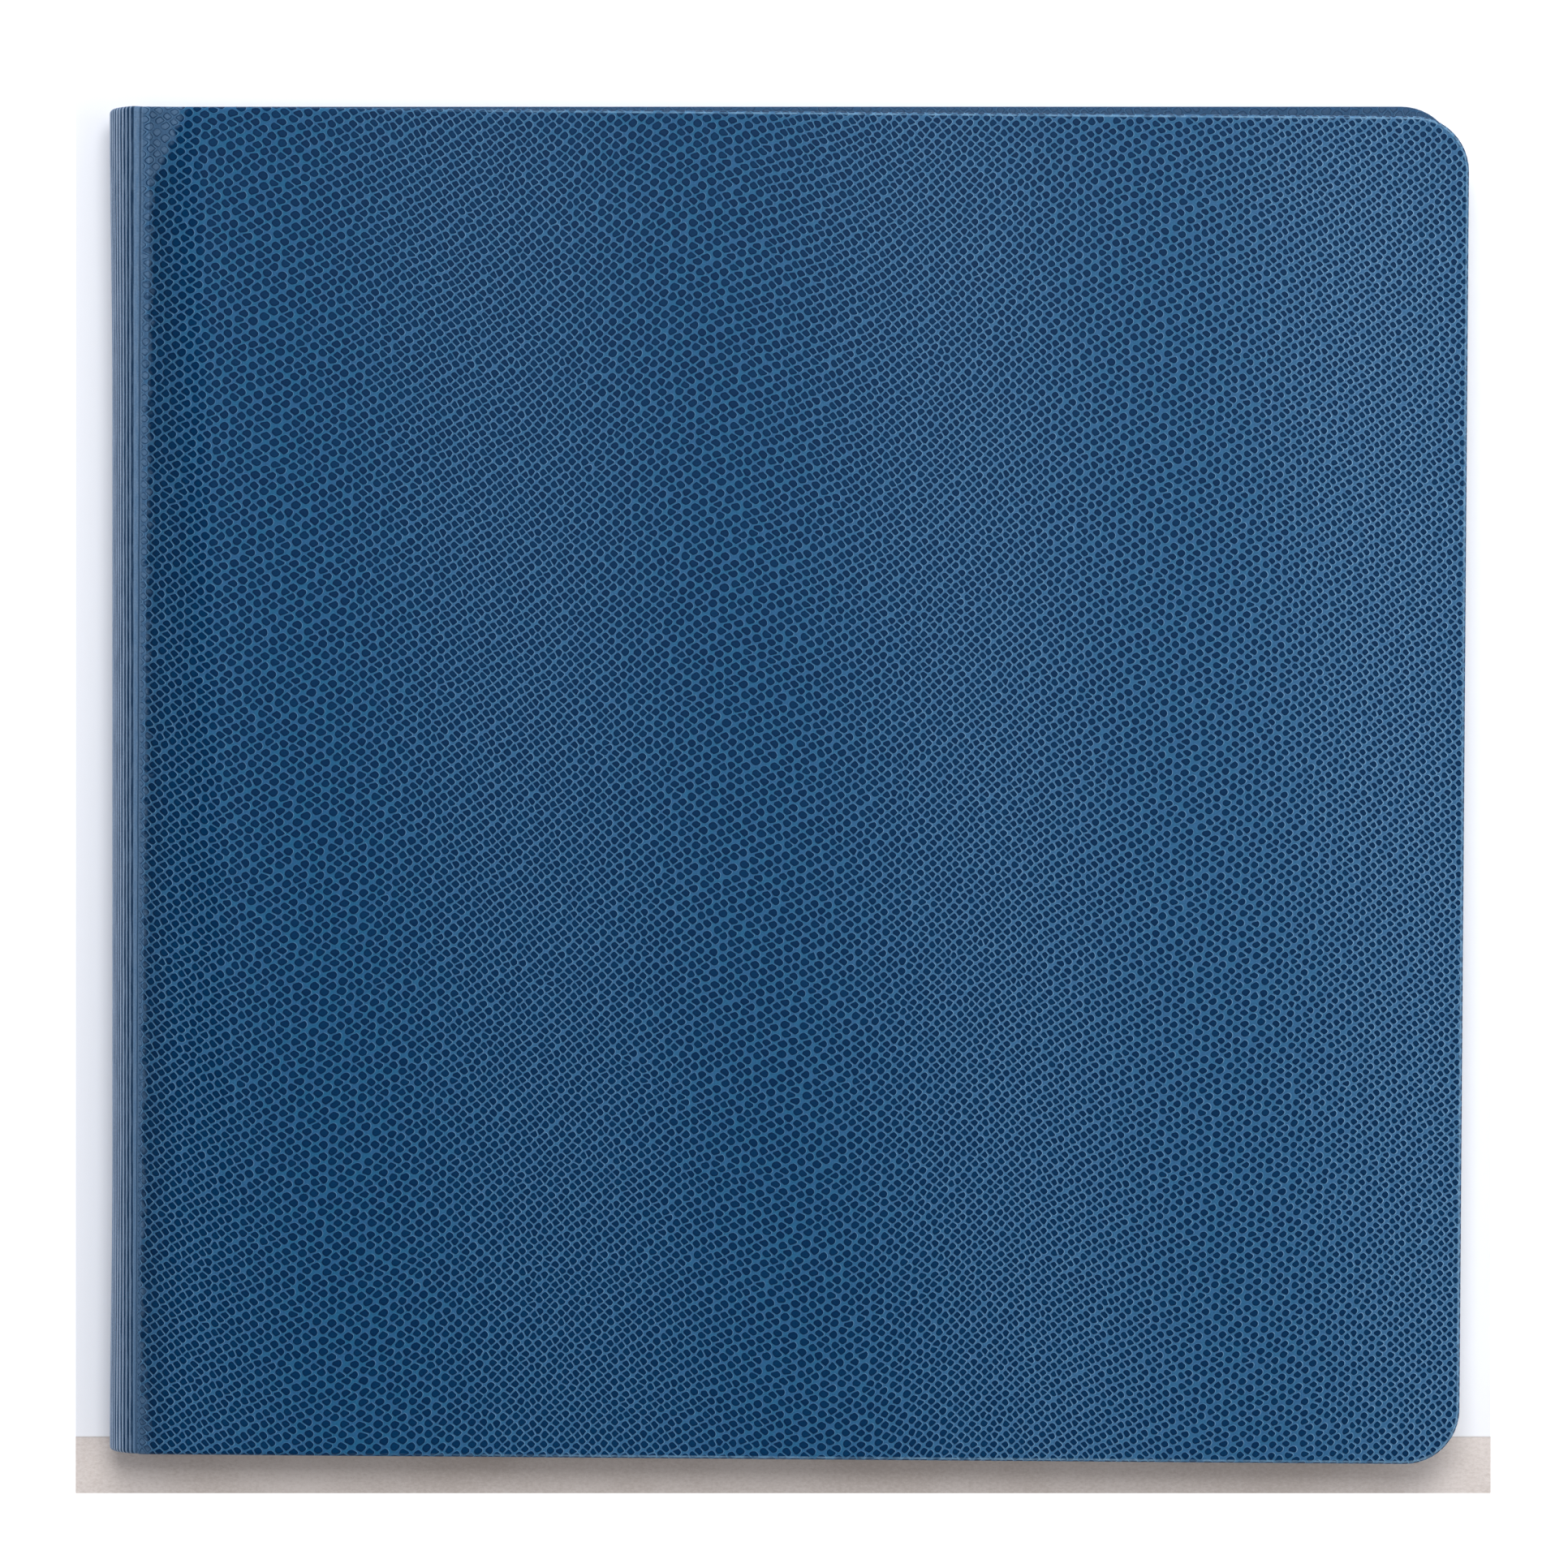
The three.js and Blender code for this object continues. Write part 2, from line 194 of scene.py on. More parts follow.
class Graph:
    """A short way to write a node tree."""

    def __init__(self, tree: bpy.types.NodeTree) -> None:
        """Starts on an empty tree."""
        self.tree = tree
        tree.nodes.clear()

    def node(self, kind: str, **settings: object) -> bpy.types.Node:
        """Adds a node.

        Args:
            kind: The node's type without its ShaderNode or NodeGroup start.
            **settings: Attributes to set on it.

        Returns:
            The node.
        """
        prefix = "" if kind.startswith("NodeGroup") else "ShaderNode"
        node = self.tree.nodes.new(prefix + kind)
        for key, value in settings.items():
            setattr(node, key, value)
        return node

    def wire(self, source: object, target: Socket) -> None:
        """Joins a socket to an input, or sets the input to a plain value.

        Args:
            source: The socket or the value.
            target: The input.
        """
        if isinstance(source, Socket):
            self.tree.links.new(source, target)
        else:
            target.default_value = source

    def math(self, operation: str, *values: object, clamp: bool = False) -> Socket:
        """Does one sum on numbers or sockets.

        Args:
            operation: The Math node's operation.
            *values: Its inputs in order.
            clamp: Keeps the result between 0 and 1.

        Returns:
            The result's socket.
        """
        node = self.node("Math", operation=operation, use_clamp=clamp)
        for i, value in enumerate(values):
            self.wire(value, node.inputs[i])
        return node.outputs[0]

    def vector(self, operation: str, *values: object) -> Socket:
        """Does one sum on vectors.

        Args:
            operation: The Vector Math node's operation.
            *values: Its inputs in order.

        Returns:
            The result's socket.
        """
        node = self.node("VectorMath", operation=operation)
        for i, value in enumerate(values):
            self.wire(value, node.inputs[i])
        return node.outputs["Value"] if operation == "DOT_PRODUCT" else node.outputs[0]

    def ramp(self, value: object, low: float, high: float, to: Flat = (0.0, 1.0)) -> Socket:
        """Carries low..high to the two given ends, smoothly and clamped.

        Args:
            value: What is carried.
            low: Where the change starts.
            high: Where it ends.
            to: The results there.

        Returns:
            The result's socket.
        """
        node = self.node("MapRange", interpolation_type="SMOOTHSTEP")
        for socket, item in zip(node.inputs, (value, low, high, *to)):
            self.wire(item, socket)
        return node.outputs[0]

    def mix(self, factor: object, a: object, b: object, mode: str = "MIX") -> Socket:
        """Mixes two colours.

        Args:
            factor: 0 for the first colour to 1 for the second.
            a: The first colour.
            b: The second colour.
            mode: The Mix node's blend type.

        Returns:
            The result's socket.
        """
        node = self.node("Mix", data_type="RGBA", blend_type=mode)
        self.wire(factor, node.inputs["Factor"])
        self.wire(a, node.inputs[6])
        self.wire(b, node.inputs[7])
        return node.outputs[2]

    def noise(self, place: object, scale: float, detail: float = 2.0, rough: float = 0.5) -> bpy.types.Node:
        """Adds a noise texture at a place.

        Args:
            place: The place.
            scale: Its spots per metre.
            detail: Its finer layers.
            rough: How strong they are.

        Returns:
            The node.
        """
        node = self.node("TexNoise")
        self.wire(place, node.inputs["Vector"])
        node.inputs["Scale"].default_value = scale
        node.inputs["Detail"].default_value = detail
        node.inputs["Roughness"].default_value = rough
        return node

    def parts(self, place: Socket) -> tuple[Socket, Socket]:
        """Splits a vector.

        Args:
            place: The vector.

        Returns:
            Its first two numbers.
        """
        split = self.node("SeparateXYZ")
        self.wire(place, split.inputs[0])
        return split.outputs[0], split.outputs[1]

    def join(self, x: Socket, y: Socket) -> Socket:
        """Makes a vector.

        Args:
            x: Its first number.
            y: Its second number.

        Returns:
            The vector's socket.
        """
        joined = self.node("CombineXYZ")
        self.wire(x, joined.inputs[0])
        self.wire(y, joined.inputs[1])
        return joined.outputs[0]

    def raise_surface(self, height: Socket, distance: float, shader: bpy.types.Node) -> None:
        """Leads a height into a shader's normal through a bump.

        Args:
            height: The height, 0 to 1.
            distance: How far 1 stands up.
            shader: The shader.
        """
        bump = self.node("Bump")
        bump.inputs["Distance"].default_value = distance
        self.wire(height, bump.inputs["Height"])
        self.wire(bump.outputs[0], shader.inputs["Normal"])


class Effect:
    """A shader node group with named inputs and outputs, built once."""

    def __init__(self, name: str, inputs: dict[str, tuple[str, object]], outputs: dict[str, str],
                 build: Callable[[Graph, bpy.types.Node, bpy.types.Node], None]) -> None:
        """Builds the group.

        Args:
            name: The group's name.
            inputs: Socket type and starting value by input name.
            outputs: Socket type by output name.
            build: Fills the group in, given its graph and its input and output nodes.
        """
        self.tree = bpy.data.node_groups.new(name, "ShaderNodeTree")
        for label, (kind, value) in inputs.items():
            socket = self.tree.interface.new_socket(label, in_out="INPUT", socket_type=f"NodeSocket{kind}")
            if value is not None:
                socket.default_value = value
        for label, kind in outputs.items():
            self.tree.interface.new_socket(label, in_out="OUTPUT", socket_type=f"NodeSocket{kind}")
        graph = Graph(self.tree)
        build(graph, graph.node("NodeGroupInput"), graph.node("NodeGroupOutput"))

    def place(self, graph: Graph, **values: object) -> bpy.types.Node:
        """Puts the group in a material with its own values.

        Args:
            graph: The material's graph.
            **values: Values by input name, with underscores for spaces.

        Returns:
            The group's node.
        """
        node = graph.node("Group")
        node.node_tree = self.tree
        for key, value in values.items():
            graph.wire(value, node.inputs[key.replace("_", " ")])
        return node


@dataclass(frozen=True)
class ScalePattern:
    """Raised reptile scales in slanting rows, packed tighter in bands and towards the fore-edge."""

    row_a: Flat = (1.56 * MM, 1.04 * MM)
    row_b: Flat = (1.52 * MM, -1.46 * MM)
    randomness: float = 0.33
    band_pitch: float = 105 * MM
    band_slant: float = 0.09
    band_warp: float = 3.6 * MM
    squeeze: float = 0.15
    bow_pitch: float = 71 * MM
    bow: float = 0.9 * MM
    fan_in_band: float = 0.02
    fan_along: float = 0.3
    drift: float = 1.3 * MM
    drift_scale: float = 90.0
    fore_range: Flat = (-0.02, 0.15)
    tall_in_band: Flat = (-0.17, 0.98)
    reach: float = 1.96 * MM
    size: float = 0.59
    size_loss: float = -0.03
    narrow_at_fore: float = 0.03
    narrow_in_band: float = 0.015
    corner: float = 0.14
    top_wall: Flat = (0.06, 0.13)
    middle_wall: Flat = (0.13, 0.33)
    height_wall: Flat = (0.02, 0.16)

    def hide_place(self, graph: Graph, place: Socket, wave: Socket, band: Socket) -> Socket:
        """Bends the plain skin map the way the hide's rows bend.

        Args:
            graph: The group's graph.
            place: The skin map.
            wave: Sine of the place across the bands.
            band: Its cosine, 1 where the rows are tightest.

        Returns:
            The place on the hide.
        """
        x, y = graph.parts(place)
        squeezed = graph.math("MULTIPLY_ADD", graph.math("MULTIPLY", x, x), self.squeeze, x)
        warped_x = graph.math("MULTIPLY_ADD", wave, self.band_warp, squeezed)
        bow = graph.math("SINE", graph.math("MULTIPLY", x, 2 * math.pi / self.bow_pitch))
        spread = graph.math("MULTIPLY_ADD", band, self.fan_in_band, graph.math("MULTIPLY", x, self.fan_along))
        fanned = graph.math("MULTIPLY_ADD", spread, y, y)
        warped = graph.join(warped_x, graph.math("MULTIPLY_ADD", bow, self.bow, fanned))
        cloud = graph.noise(place, self.drift_scale, 1.0).outputs["Color"]
        drift = graph.vector("SUBTRACT", cloud, (0.5, 0.5, 0.5))
        return graph.vector("ADD", warped, graph.vector("MULTIPLY", drift, (self.drift, self.drift, 0.0)))

    def build(self, graph: Graph, given: bpy.types.Node, out: bpy.types.Node) -> None:
        """Fills in the group.

        Args:
            graph: The group's graph.
            given: Its input node.
            out: Its output node.
        """
        place = given.outputs["Place"]
        x, y = graph.parts(place)
        slant = graph.math("MULTIPLY_ADD", y, self.band_slant, x)
        turn = graph.math("MULTIPLY", graph.math("SUBTRACT", slant, given.outputs["Band Start"]),
                          2 * math.pi / self.band_pitch)
        band = graph.math("COSINE", turn)
        hide = self.hide_place(graph, place, graph.math("SINE", turn), band)
        # The two rows become the sides of a unit square, one cell to each scale.
        (ax, ay), (bx, by) = self.row_a, self.row_b
        area = ax * by - ay * bx
        lattice = graph.join(graph.vector("DOT_PRODUCT", hide, (by / area, -bx / area, 0.0)),
                             graph.vector("DOT_PRODUCT", hide, (-ay / area, ax / area, 0.0)))
        cell = graph.node("TexVoronoi", feature="F1", voronoi_dimensions="2D")
        edge = graph.node("TexVoronoi", feature="DISTANCE_TO_EDGE", voronoi_dimensions="2D")
        for voronoi in (cell, edge):
            graph.wire(lattice, voronoi.inputs["Vector"])
            voronoi.inputs["Scale"].default_value = 1.0
            voronoi.inputs["Randomness"].default_value = self.randomness
        # Cell walls, with each cell's corners rounded off by the true distance to its middle.
        off = graph.vector("SUBTRACT", lattice, cell.outputs["Position"])
        off_x = graph.math("MULTIPLY", graph.vector("DOT_PRODUCT", off, (ax, bx, 0.0)),
                           graph.math("MULTIPLY_ADD", band, *self.tall_in_band))
        off_y = graph.vector("DOT_PRODUCT", off, (ay, by, 0.0))
        away = graph.math("SQRT", graph.math("ADD", graph.math("MULTIPLY", off_x, off_x),
                                             graph.math("MULTIPLY", off_y, off_y)))
        tight = graph.math("MULTIPLY_ADD", band, 0.5, 0.5)
        fore = graph.ramp(x, *self.fore_range)
        size = graph.math("MULTIPLY_ADD", fore, self.size_loss, self.size)
        size = graph.math("MULTIPLY_ADD", tight, self.size_loss, size)
        round_in = graph.math("MULTIPLY_ADD", away, -1 / self.reach, size)
        rounded = graph.math("SMOOTH_MIN", edge.outputs["Distance"], round_in, self.corner)
        narrowed = graph.math("MULTIPLY_ADD", fore, self.narrow_at_fore,
                              graph.math("MULTIPLY", tight, self.narrow_in_band))
        inside = graph.math("SUBTRACT", rounded, narrowed)
        tint = graph.node("SeparateColor")
        graph.wire(cell.outputs["Color"], tint.inputs[0])
        # Painted highlight: one side of each scale, the side that leans the way the rows run, is painted
        # lighter as if it caught the light.
        lit = graph.ramp(graph.vector("DOT_PRODUCT", off, (1.0, 0.8, 0.0)), 0.05, 0.5, (0.2, 1.0))
        line = graph.math("MULTIPLY", graph.ramp(rounded, 0.0, 0.05), graph.ramp(inside, 0.05, 0.1, FALLING))
        ring = graph.math("MULTIPLY", graph.ramp(inside, 0.03, 0.09), graph.ramp(inside, 0.12, 0.24, FALLING))
        lift = graph.math("MULTIPLY_ADD", tint.outputs[1], 0.3, 0.7)
        results = {
            "Top": graph.ramp(inside, *self.top_wall),
            "Middle": graph.ramp(inside, *self.middle_wall),
            "Painted highlight": graph.math("MULTIPLY", line, lit),
            "Outline": ring,
            "Tone": tint.outputs[0],
            "Band": tight,
            "Height": graph.math("MULTIPLY", graph.ramp(inside, *self.height_wall), lift),
        }
        for label, socket in results.items():
            graph.wire(socket, out.inputs[label])


def build_grain(graph: Graph, given: bpy.types.Node, out: bpy.types.Node) -> None:
    """Fine surface grain with a slow change of tone over it.

    Args:
        graph: The group's graph.
        given: Its input node.
        out: Its output node.
    """
    place = given.outputs["Place"]
    fine = graph.noise(graph.vector("MULTIPLY", place, given.outputs["Stretch"]), 2600.0, 3.0, 0.6)
    slow = graph.noise(place, 14.0, 3.0, 0.55)
    graph.wire(fine.outputs[0], out.inputs["Fine"])
    graph.wire(slow.outputs[0], out.inputs["Slow"])


class Effects:
    """The node groups that more than one finish uses."""

    def __init__(self) -> None:
        """Builds every group."""
        self.scales = Effect(
            "Reptile scales",
            {"Place": ("Vector", None), "Band Start": ("Float", 0.0)},
            dict.fromkeys(("Height", "Top", "Middle", "Painted highlight", "Outline", "Tone", "Band"), "Float"),
            ScalePattern().build,
        )
        self.grain = Effect(
            "Surface grain",
            {"Place": ("Vector", None), "Stretch": ("Vector", (1.0, 1.0, 1.0))},
            {"Fine": "Float", "Slow": "Float"},
            build_grain,
        )


# ---- Finishes -----------------------------------------------------------------------------------


def new_material(name: str) -> tuple[bpy.types.Material, Graph, bpy.types.Node]:
    """Starts a material with one Principled shader.

    Args:
        name: The material's name.

    Returns:
        The material, its graph and its shader.
    """
    material = bpy.data.materials.new(name)
    material.use_nodes = True
    graph = Graph(material.node_tree)
    shader = graph.node("BsdfPrincipled")
    graph.wire(shader.outputs[0], graph.node("OutputMaterial").inputs[0])
    return material, graph, shader


@dataclass(frozen=True)
class SkinMap:
    """Where the case's features lie in the skin map."""

    middle: float
    spine_half: float
    cover_start: float
    half_height: float
    rib_pitch: float


@dataclass(frozen=True)
class Leatherette:
    """Blue leatherette: scales on the covers, pressed flat by the joints, and ribs round the spine."""

    effects: Effects
    top_edge: Colour = linear(0, 35, 69)
    top: Colour = linear(0, 49, 85)
    net: Colour = linear(28, 88, 124)
    net_mauve: Colour = linear(36, 85, 125)
    # Paler net, for the tight bands and for the painted sheen towards the fore-edge.
    net_light: Colour = linear(64, 106, 143)
    # Painted highlight colour, for the lit side of each scale and the line along the fold.
    rim: Colour = linear(116, 155, 185)
    pressed: Colour = linear(80, 110, 140)
    flat_net: Colour = linear(66, 98, 130)
    outline: Colour = linear(18, 50, 82)
    # Rib colours: a painted highlight on the crests, the flanks between, and painted shade for the grooves,
    # the creases and the turned-in part.
    painted_crest_highlight: Colour = linear(146, 162, 184)
    flank: Colour = linear(92, 118, 145)
    painted_shade: Colour = linear(22, 50, 78)
    scale_height: float = 0.16 * MM
    gloss: float = 0.05
    flat_at_head: float = 8.5 * MM
    flat_at_tail: float = 1.6 * MM
    # Where the painted highlight line along the fold starts and ends, in from the fold.
    line_start: float = 0.1 * MM
    line_end: float = 0.95 * MM
    creases: tuple[Point, ...] = ((1.45 * MM, 0.16 * MM, 0.85), (2.05 * MM, 0.1 * MM, 0.4))

    def cover_colour(self, graph: Graph, scales: bpy.types.Node, uv: Socket, slow: Socket, ragged: Socket,
                     relief: Socket) -> Socket:
        """Colours the scales, paler and only outlined where they are pressed, with a painted highlight on one
        side of each scale and a painted sheen on the net towards the fore-edge.

        Args:
            graph: The material's graph.
            scales: The placed scale group.
            uv: The skin map.
            slow: Slow change of tone.
            ragged: Uneven noise that breaks up the outlines and the painted highlights.
            relief: 0 where the scales are pressed flat to 1 where they stand.

        Returns:
            The colour.
        """
        across, _ = graph.parts(uv)
        patchy = graph.noise(uv, 330.0, 2.0).outputs[0]
        tone = graph.math("MULTIPLY_ADD", scales.outputs["Tone"], 0.5, -0.15)
        tone = graph.math("ADD", tone, graph.math("MULTIPLY", scales.outputs["Middle"], 0.6), clamp=True)
        top = graph.mix(tone, self.top_edge, self.top)
        top = graph.mix(relief, self.pressed, top)
        spread = graph.math("MULTIPLY_ADD", scales.outputs["Band"], 0.42, graph.math("MULTIPLY", slow, 0.2))
        # Painted sheen: the net is painted paler towards the fore-edge, added to the paler tight bands and
        # the slow tone.
        spread = graph.math("MULTIPLY_ADD", graph.ramp(across, -0.12, 0.16), 0.27, spread, clamp=True)
        net = graph.mix(graph.ramp(patchy, 0.38, 0.62), self.net, self.net_mauve)
        net = graph.mix(relief, self.flat_net, graph.mix(spread, net, self.net_light))
        colour = graph.mix(scales.outputs["Top"], net, top)
        ring = graph.math("MULTIPLY", scales.outputs["Outline"], graph.math("SUBTRACT", 1.0, relief))
        ring = graph.math("MULTIPLY", ring, graph.ramp(ragged, 0.3, 0.6, (0.5, 1.0)))
        colour = graph.mix(ring, colour, self.outline)
        # Painted highlight on the lit side of each scale, stronger towards the fore-edge and in the tight
        # bands.
        painted_scale_highlight = graph.math("MULTIPLY", scales.outputs["Painted highlight"], graph.ramp(ragged, 0.3, 0.62, (0.15, 0.6)))
        painted_scale_highlight = graph.math("MULTIPLY", painted_scale_highlight, graph.ramp(across, 0.0, 0.16, (1.0, 1.5)))
        in_band = graph.ramp(scales.outputs["Band"], 0.0, 1.0, (0.85, 1.2))
        painted_scale_highlight = graph.math("MULTIPLY", painted_scale_highlight, in_band, clamp=True)
        return graph.mix(painted_scale_highlight, colour, self.rim)

    def spine_colour(self, graph: Graph, places: SkinMap, from_middle: Socket, uv: Socket) -> Socket:
        """Colours the ribs and the creases of the joint, with lines that wander and break: painted highlights
        on the rib crests, and painted shade in the grooves, in the creases and on the ribs by the joint.

        Args:
            graph: The material's graph.
            places: Where the case's features lie.
            from_middle: Distance from the spine's middle.
            uv: The skin map.

        Returns:
            The colour.
        """
        drawn = graph.vector("MULTIPLY", uv, (1.0, 0.12, 1.0))
        wander = graph.math("SUBTRACT", graph.noise(drawn, 700.0, 2.0).outputs[0], 0.5)
        place = graph.math("MULTIPLY_ADD", wander, 0.3 * MM, from_middle)
        turn = graph.math("COSINE", graph.math("MULTIPLY", place, 2 * math.pi / places.rib_pitch))
        break_up = graph.noise(drawn, 2100.0, 2.0).outputs[0]
        # Painted light on the ribs: the crests are painted as highlights, the grooves in painted shade, and
        # the ribs by the joint darker as painted shade.
        painted_joint_shade = graph.ramp(from_middle, places.spine_half - 4 * MM, places.spine_half - MM, (0.0, 0.7))
        lit = graph.math("MULTIPLY", graph.ramp(turn, -0.1, 0.75), graph.math("SUBTRACT", 1.0, painted_joint_shade))
        ribs = graph.mix(lit, self.flank, self.painted_crest_highlight)
        depth = graph.math("MULTIPLY", graph.ramp(graph.math("SUBTRACT", turn, painted_joint_shade), -0.1, -0.8),
                           graph.ramp(break_up, 0.25, 0.6, (0.6, 1.0)))
        ribs = graph.mix(depth, ribs, self.painted_shade)
        joint = graph.mix(graph.ramp(break_up, 0.35, 0.65), self.flank, self.pressed)
        # The joint's creases are painted as dark lines of shade.
        for start, wide, strength in self.creases:
            off = graph.math("ABSOLUTE", graph.math("SUBTRACT", place, places.spine_half + start))
            line = graph.math("MULTIPLY", graph.ramp(off, 0.0, wide * 2, FALLING), strength)
            joint = graph.mix(line, joint, self.painted_shade)
        on_spine = graph.ramp(from_middle, places.spine_half, places.spine_half + 0.7 * MM, FALLING)
        return graph.mix(on_spine, joint, ribs)

    def material(self, places: SkinMap) -> bpy.types.Material:
        """Makes the finish for the whole case.

        Args:
            places: Where the case's features lie.

        Returns:
            The material.
        """
        material, graph, shader = new_material("Blue leatherette")
        uv = graph.node("UVMap", uv_map=SKIN_MAP).outputs[0]
        scales = self.effects.scales.place(graph, Place=uv, Band_Start=45 * MM)
        grain = self.effects.grain.place(graph, Place=uv)
        across, along = graph.parts(uv)
        fine = grain.outputs["Fine"]
        ragged = graph.noise(uv, 420.0, 2.0).outputs[0]
        # The scales flatten by the joint, further in at the head and the tail.
        half = places.half_height
        head = graph.ramp(along, half - 22 * MM, half + 2 * MM, (0.5 * MM, self.flat_at_head))
        tail = graph.ramp(along, -half, 30 * MM - half, (self.flat_at_tail, 0.0))
        from_middle = graph.math("ABSOLUTE", graph.math("SUBTRACT", across, places.middle))
        from_cover = graph.math("SUBTRACT", from_middle, places.cover_start)
        past = graph.math("SUBTRACT", from_cover, graph.math("ADD", head, tail))
        uneven = graph.math("MULTIPLY_ADD", graph.math("SUBTRACT", ragged, 0.5), 5 * MM, past)
        edge = graph.node("Attribute", attribute_name="edge_inset").outputs["Fac"]
        relief = graph.math("MULTIPLY", graph.ramp(uneven, -1.3 * MM, 0.7 * MM),
                            graph.ramp(edge, -2.2 * MM, -0.6 * MM, (0.25, 1.0)))
        colour = self.cover_colour(graph, scales, uv, grain.outputs["Slow"], ragged, relief)
        on_cover = graph.ramp(from_cover, -1.7 * MM, -0.6 * MM)
        colour = graph.mix(on_cover, self.spine_colour(graph, places, from_middle, uv), colour)
        # A painted highlight line follows the fold, and the turned-in part is painted in shade.
        soft = 0.35 * MM
        painted_edge_highlight = graph.math("MULTIPLY", graph.ramp(edge, self.line_start, self.line_start + soft),
                            graph.ramp(edge, self.line_end - soft, self.line_end, FALLING))
        painted_edge_highlight = graph.math("MULTIPLY", painted_edge_highlight, graph.ramp(ragged, 0.35, 0.6, (0.3, 0.75)))
        painted_edge_highlight = graph.math("MULTIPLY", painted_edge_highlight, graph.ramp(across, -0.12, -0.02))
        colour = graph.mix(painted_edge_highlight, colour, self.rim)
        colour = graph.mix(graph.ramp(edge, -1.6 * MM, -0.7 * MM, (0.5, 0.0)), colour, self.painted_shade)
        colour = graph.mix(1.0, colour, graph.ramp(fine, 0.3, 0.75, (0.86, 1.12)), "MULTIPLY")
        graph.wire(colour, shader.inputs["Base Color"])
        graph.wire(graph.math("MULTIPLY_ADD", fine, 0.14, 0.38), shader.inputs["Roughness"])
        shader.inputs["Specular IOR Level"].default_value = self.gloss
        stands = graph.math("MULTIPLY", graph.math("MULTIPLY_ADD", relief, 0.9, 0.1), on_cover)
        height = graph.math("MULTIPLY", scales.outputs["Height"], stands)
        graph.raise_surface(graph.math("MULTIPLY_ADD", fine, 0.08, height), self.scale_height, shader)
        return material


@dataclass(frozen=True)
class Papery:
    """Card, paper or board with fibres and a slow change of tone."""

    name: str
    light: Colour
    dark: Colour
    roughness: float = 0.85
    bump: float = 0.03 * MM
    stretch: Point = (1.0, 1.0, 1.0)

    def material(self, effects: Effects) -> bpy.types.Material:
        """Makes the finish.

        Args:
            effects: The shared node groups.

        Returns:
            The material.
        """
        material, graph, shader = new_material(self.name)
        place = graph.node("TexCoord").outputs["Object"]
        grain = effects.grain.place(graph, Place=place, Stretch=self.stretch)
        fine, slow = grain.outputs["Fine"], grain.outputs["Slow"]
        blend = graph.math("MULTIPLY_ADD", fine, 0.6, graph.math("MULTIPLY", slow, 0.4))
        tone = graph.mix(graph.ramp(blend, 0.35, 0.65), self.dark, self.light)
        graph.wire(tone, shader.inputs["Base Color"])
        graph.wire(graph.math("MULTIPLY_ADD", fine, 0.12, self.roughness - 0.06), shader.inputs["Roughness"])
        graph.raise_surface(fine, self.bump, shader)
        return material


GREYBOARD = Papery("Grey bookboard", linear(128, 122, 112), linear(104, 99, 91), 0.92, 0.05 * MM)
LINING_PAPER = Papery("Blue lining paper", linear(34, 62, 92), linear(24, 48, 76), 0.8, 0.05 * MM)
STRAP_PLASTIC = Papery("White strap", linear(238, 236, 229), linear(228, 226, 219), 0.45, 0.02 * MM,
                       (1.0, 0.2, 1.0))
PAGE_CARD = Papery("White page card", linear(246, 245, 240), linear(236, 234, 228), 0.9, 0.02 * MM)
BINDING_STRIP = Papery("White binding strip", linear(240, 241, 240), linear(231, 232, 231), 0.4, 0.01 * MM)


@dataclass(frozen=True)
class ClearFilm:
    """Thin clear sleeve film, faintly uneven."""

    effects: Effects
    wave: float = 0.6 * MM

    def material(self) -> bpy.types.Material:
        """Makes the finish.

        Returns:
            The material.
        """
        material, graph, shader = new_material("Clear sleeve film")
        place = graph.node("TexCoord").outputs["Object"]
        grain = self.effects.grain.place(graph, Place=place)
        graph.wire(graph.math("MULTIPLY_ADD", grain.outputs["Fine"], 0.05, 0.06), shader.inputs["Roughness"])
        graph.wire(graph.mix(grain.outputs["Slow"], linear(236, 242, 246), linear(250, 251, 252)),
                   shader.inputs["Base Color"])
        shader.inputs["IOR"].default_value = 1.49
        graph.wire(graph.math("MULTIPLY_ADD", grain.outputs["Slow"], 0.06, 0.1), shader.inputs["Alpha"])
        graph.raise_surface(graph.noise(place, 22.0, 1.0).outputs[0], self.wave, shader)
        return material


@dataclass(frozen=True)
class DrawnWire:
    """Nickel-plated staple wire with fine lines along it."""

    effects: Effects

    def material(self) -> bpy.types.Material:
        """Makes the finish.

        Returns:
            The material.
        """
        material, graph, shader = new_material("Nickel staple wire")
        place = graph.node("TexCoord").outputs["Object"]
        grain = self.effects.grain.place(graph, Place=place, Stretch=(1.0, 0.1, 1.0))
        graph.wire(graph.mix(grain.outputs["Fine"], linear(176, 178, 182), linear(214, 215, 217)),
                   shader.inputs["Base Color"])
        shader.inputs["Metallic"].default_value = 1.0
        graph.wire(graph.math("MULTIPLY_ADD", grain.outputs["Fine"], 0.2, 0.18), shader.inputs["Roughness"])
        return material


# ---- Case ---------------------------------------------------------------------------------------


class Side(Enum):
    """Which cover a piece belongs to."""

    BACK = "back"
    FRONT = "front"


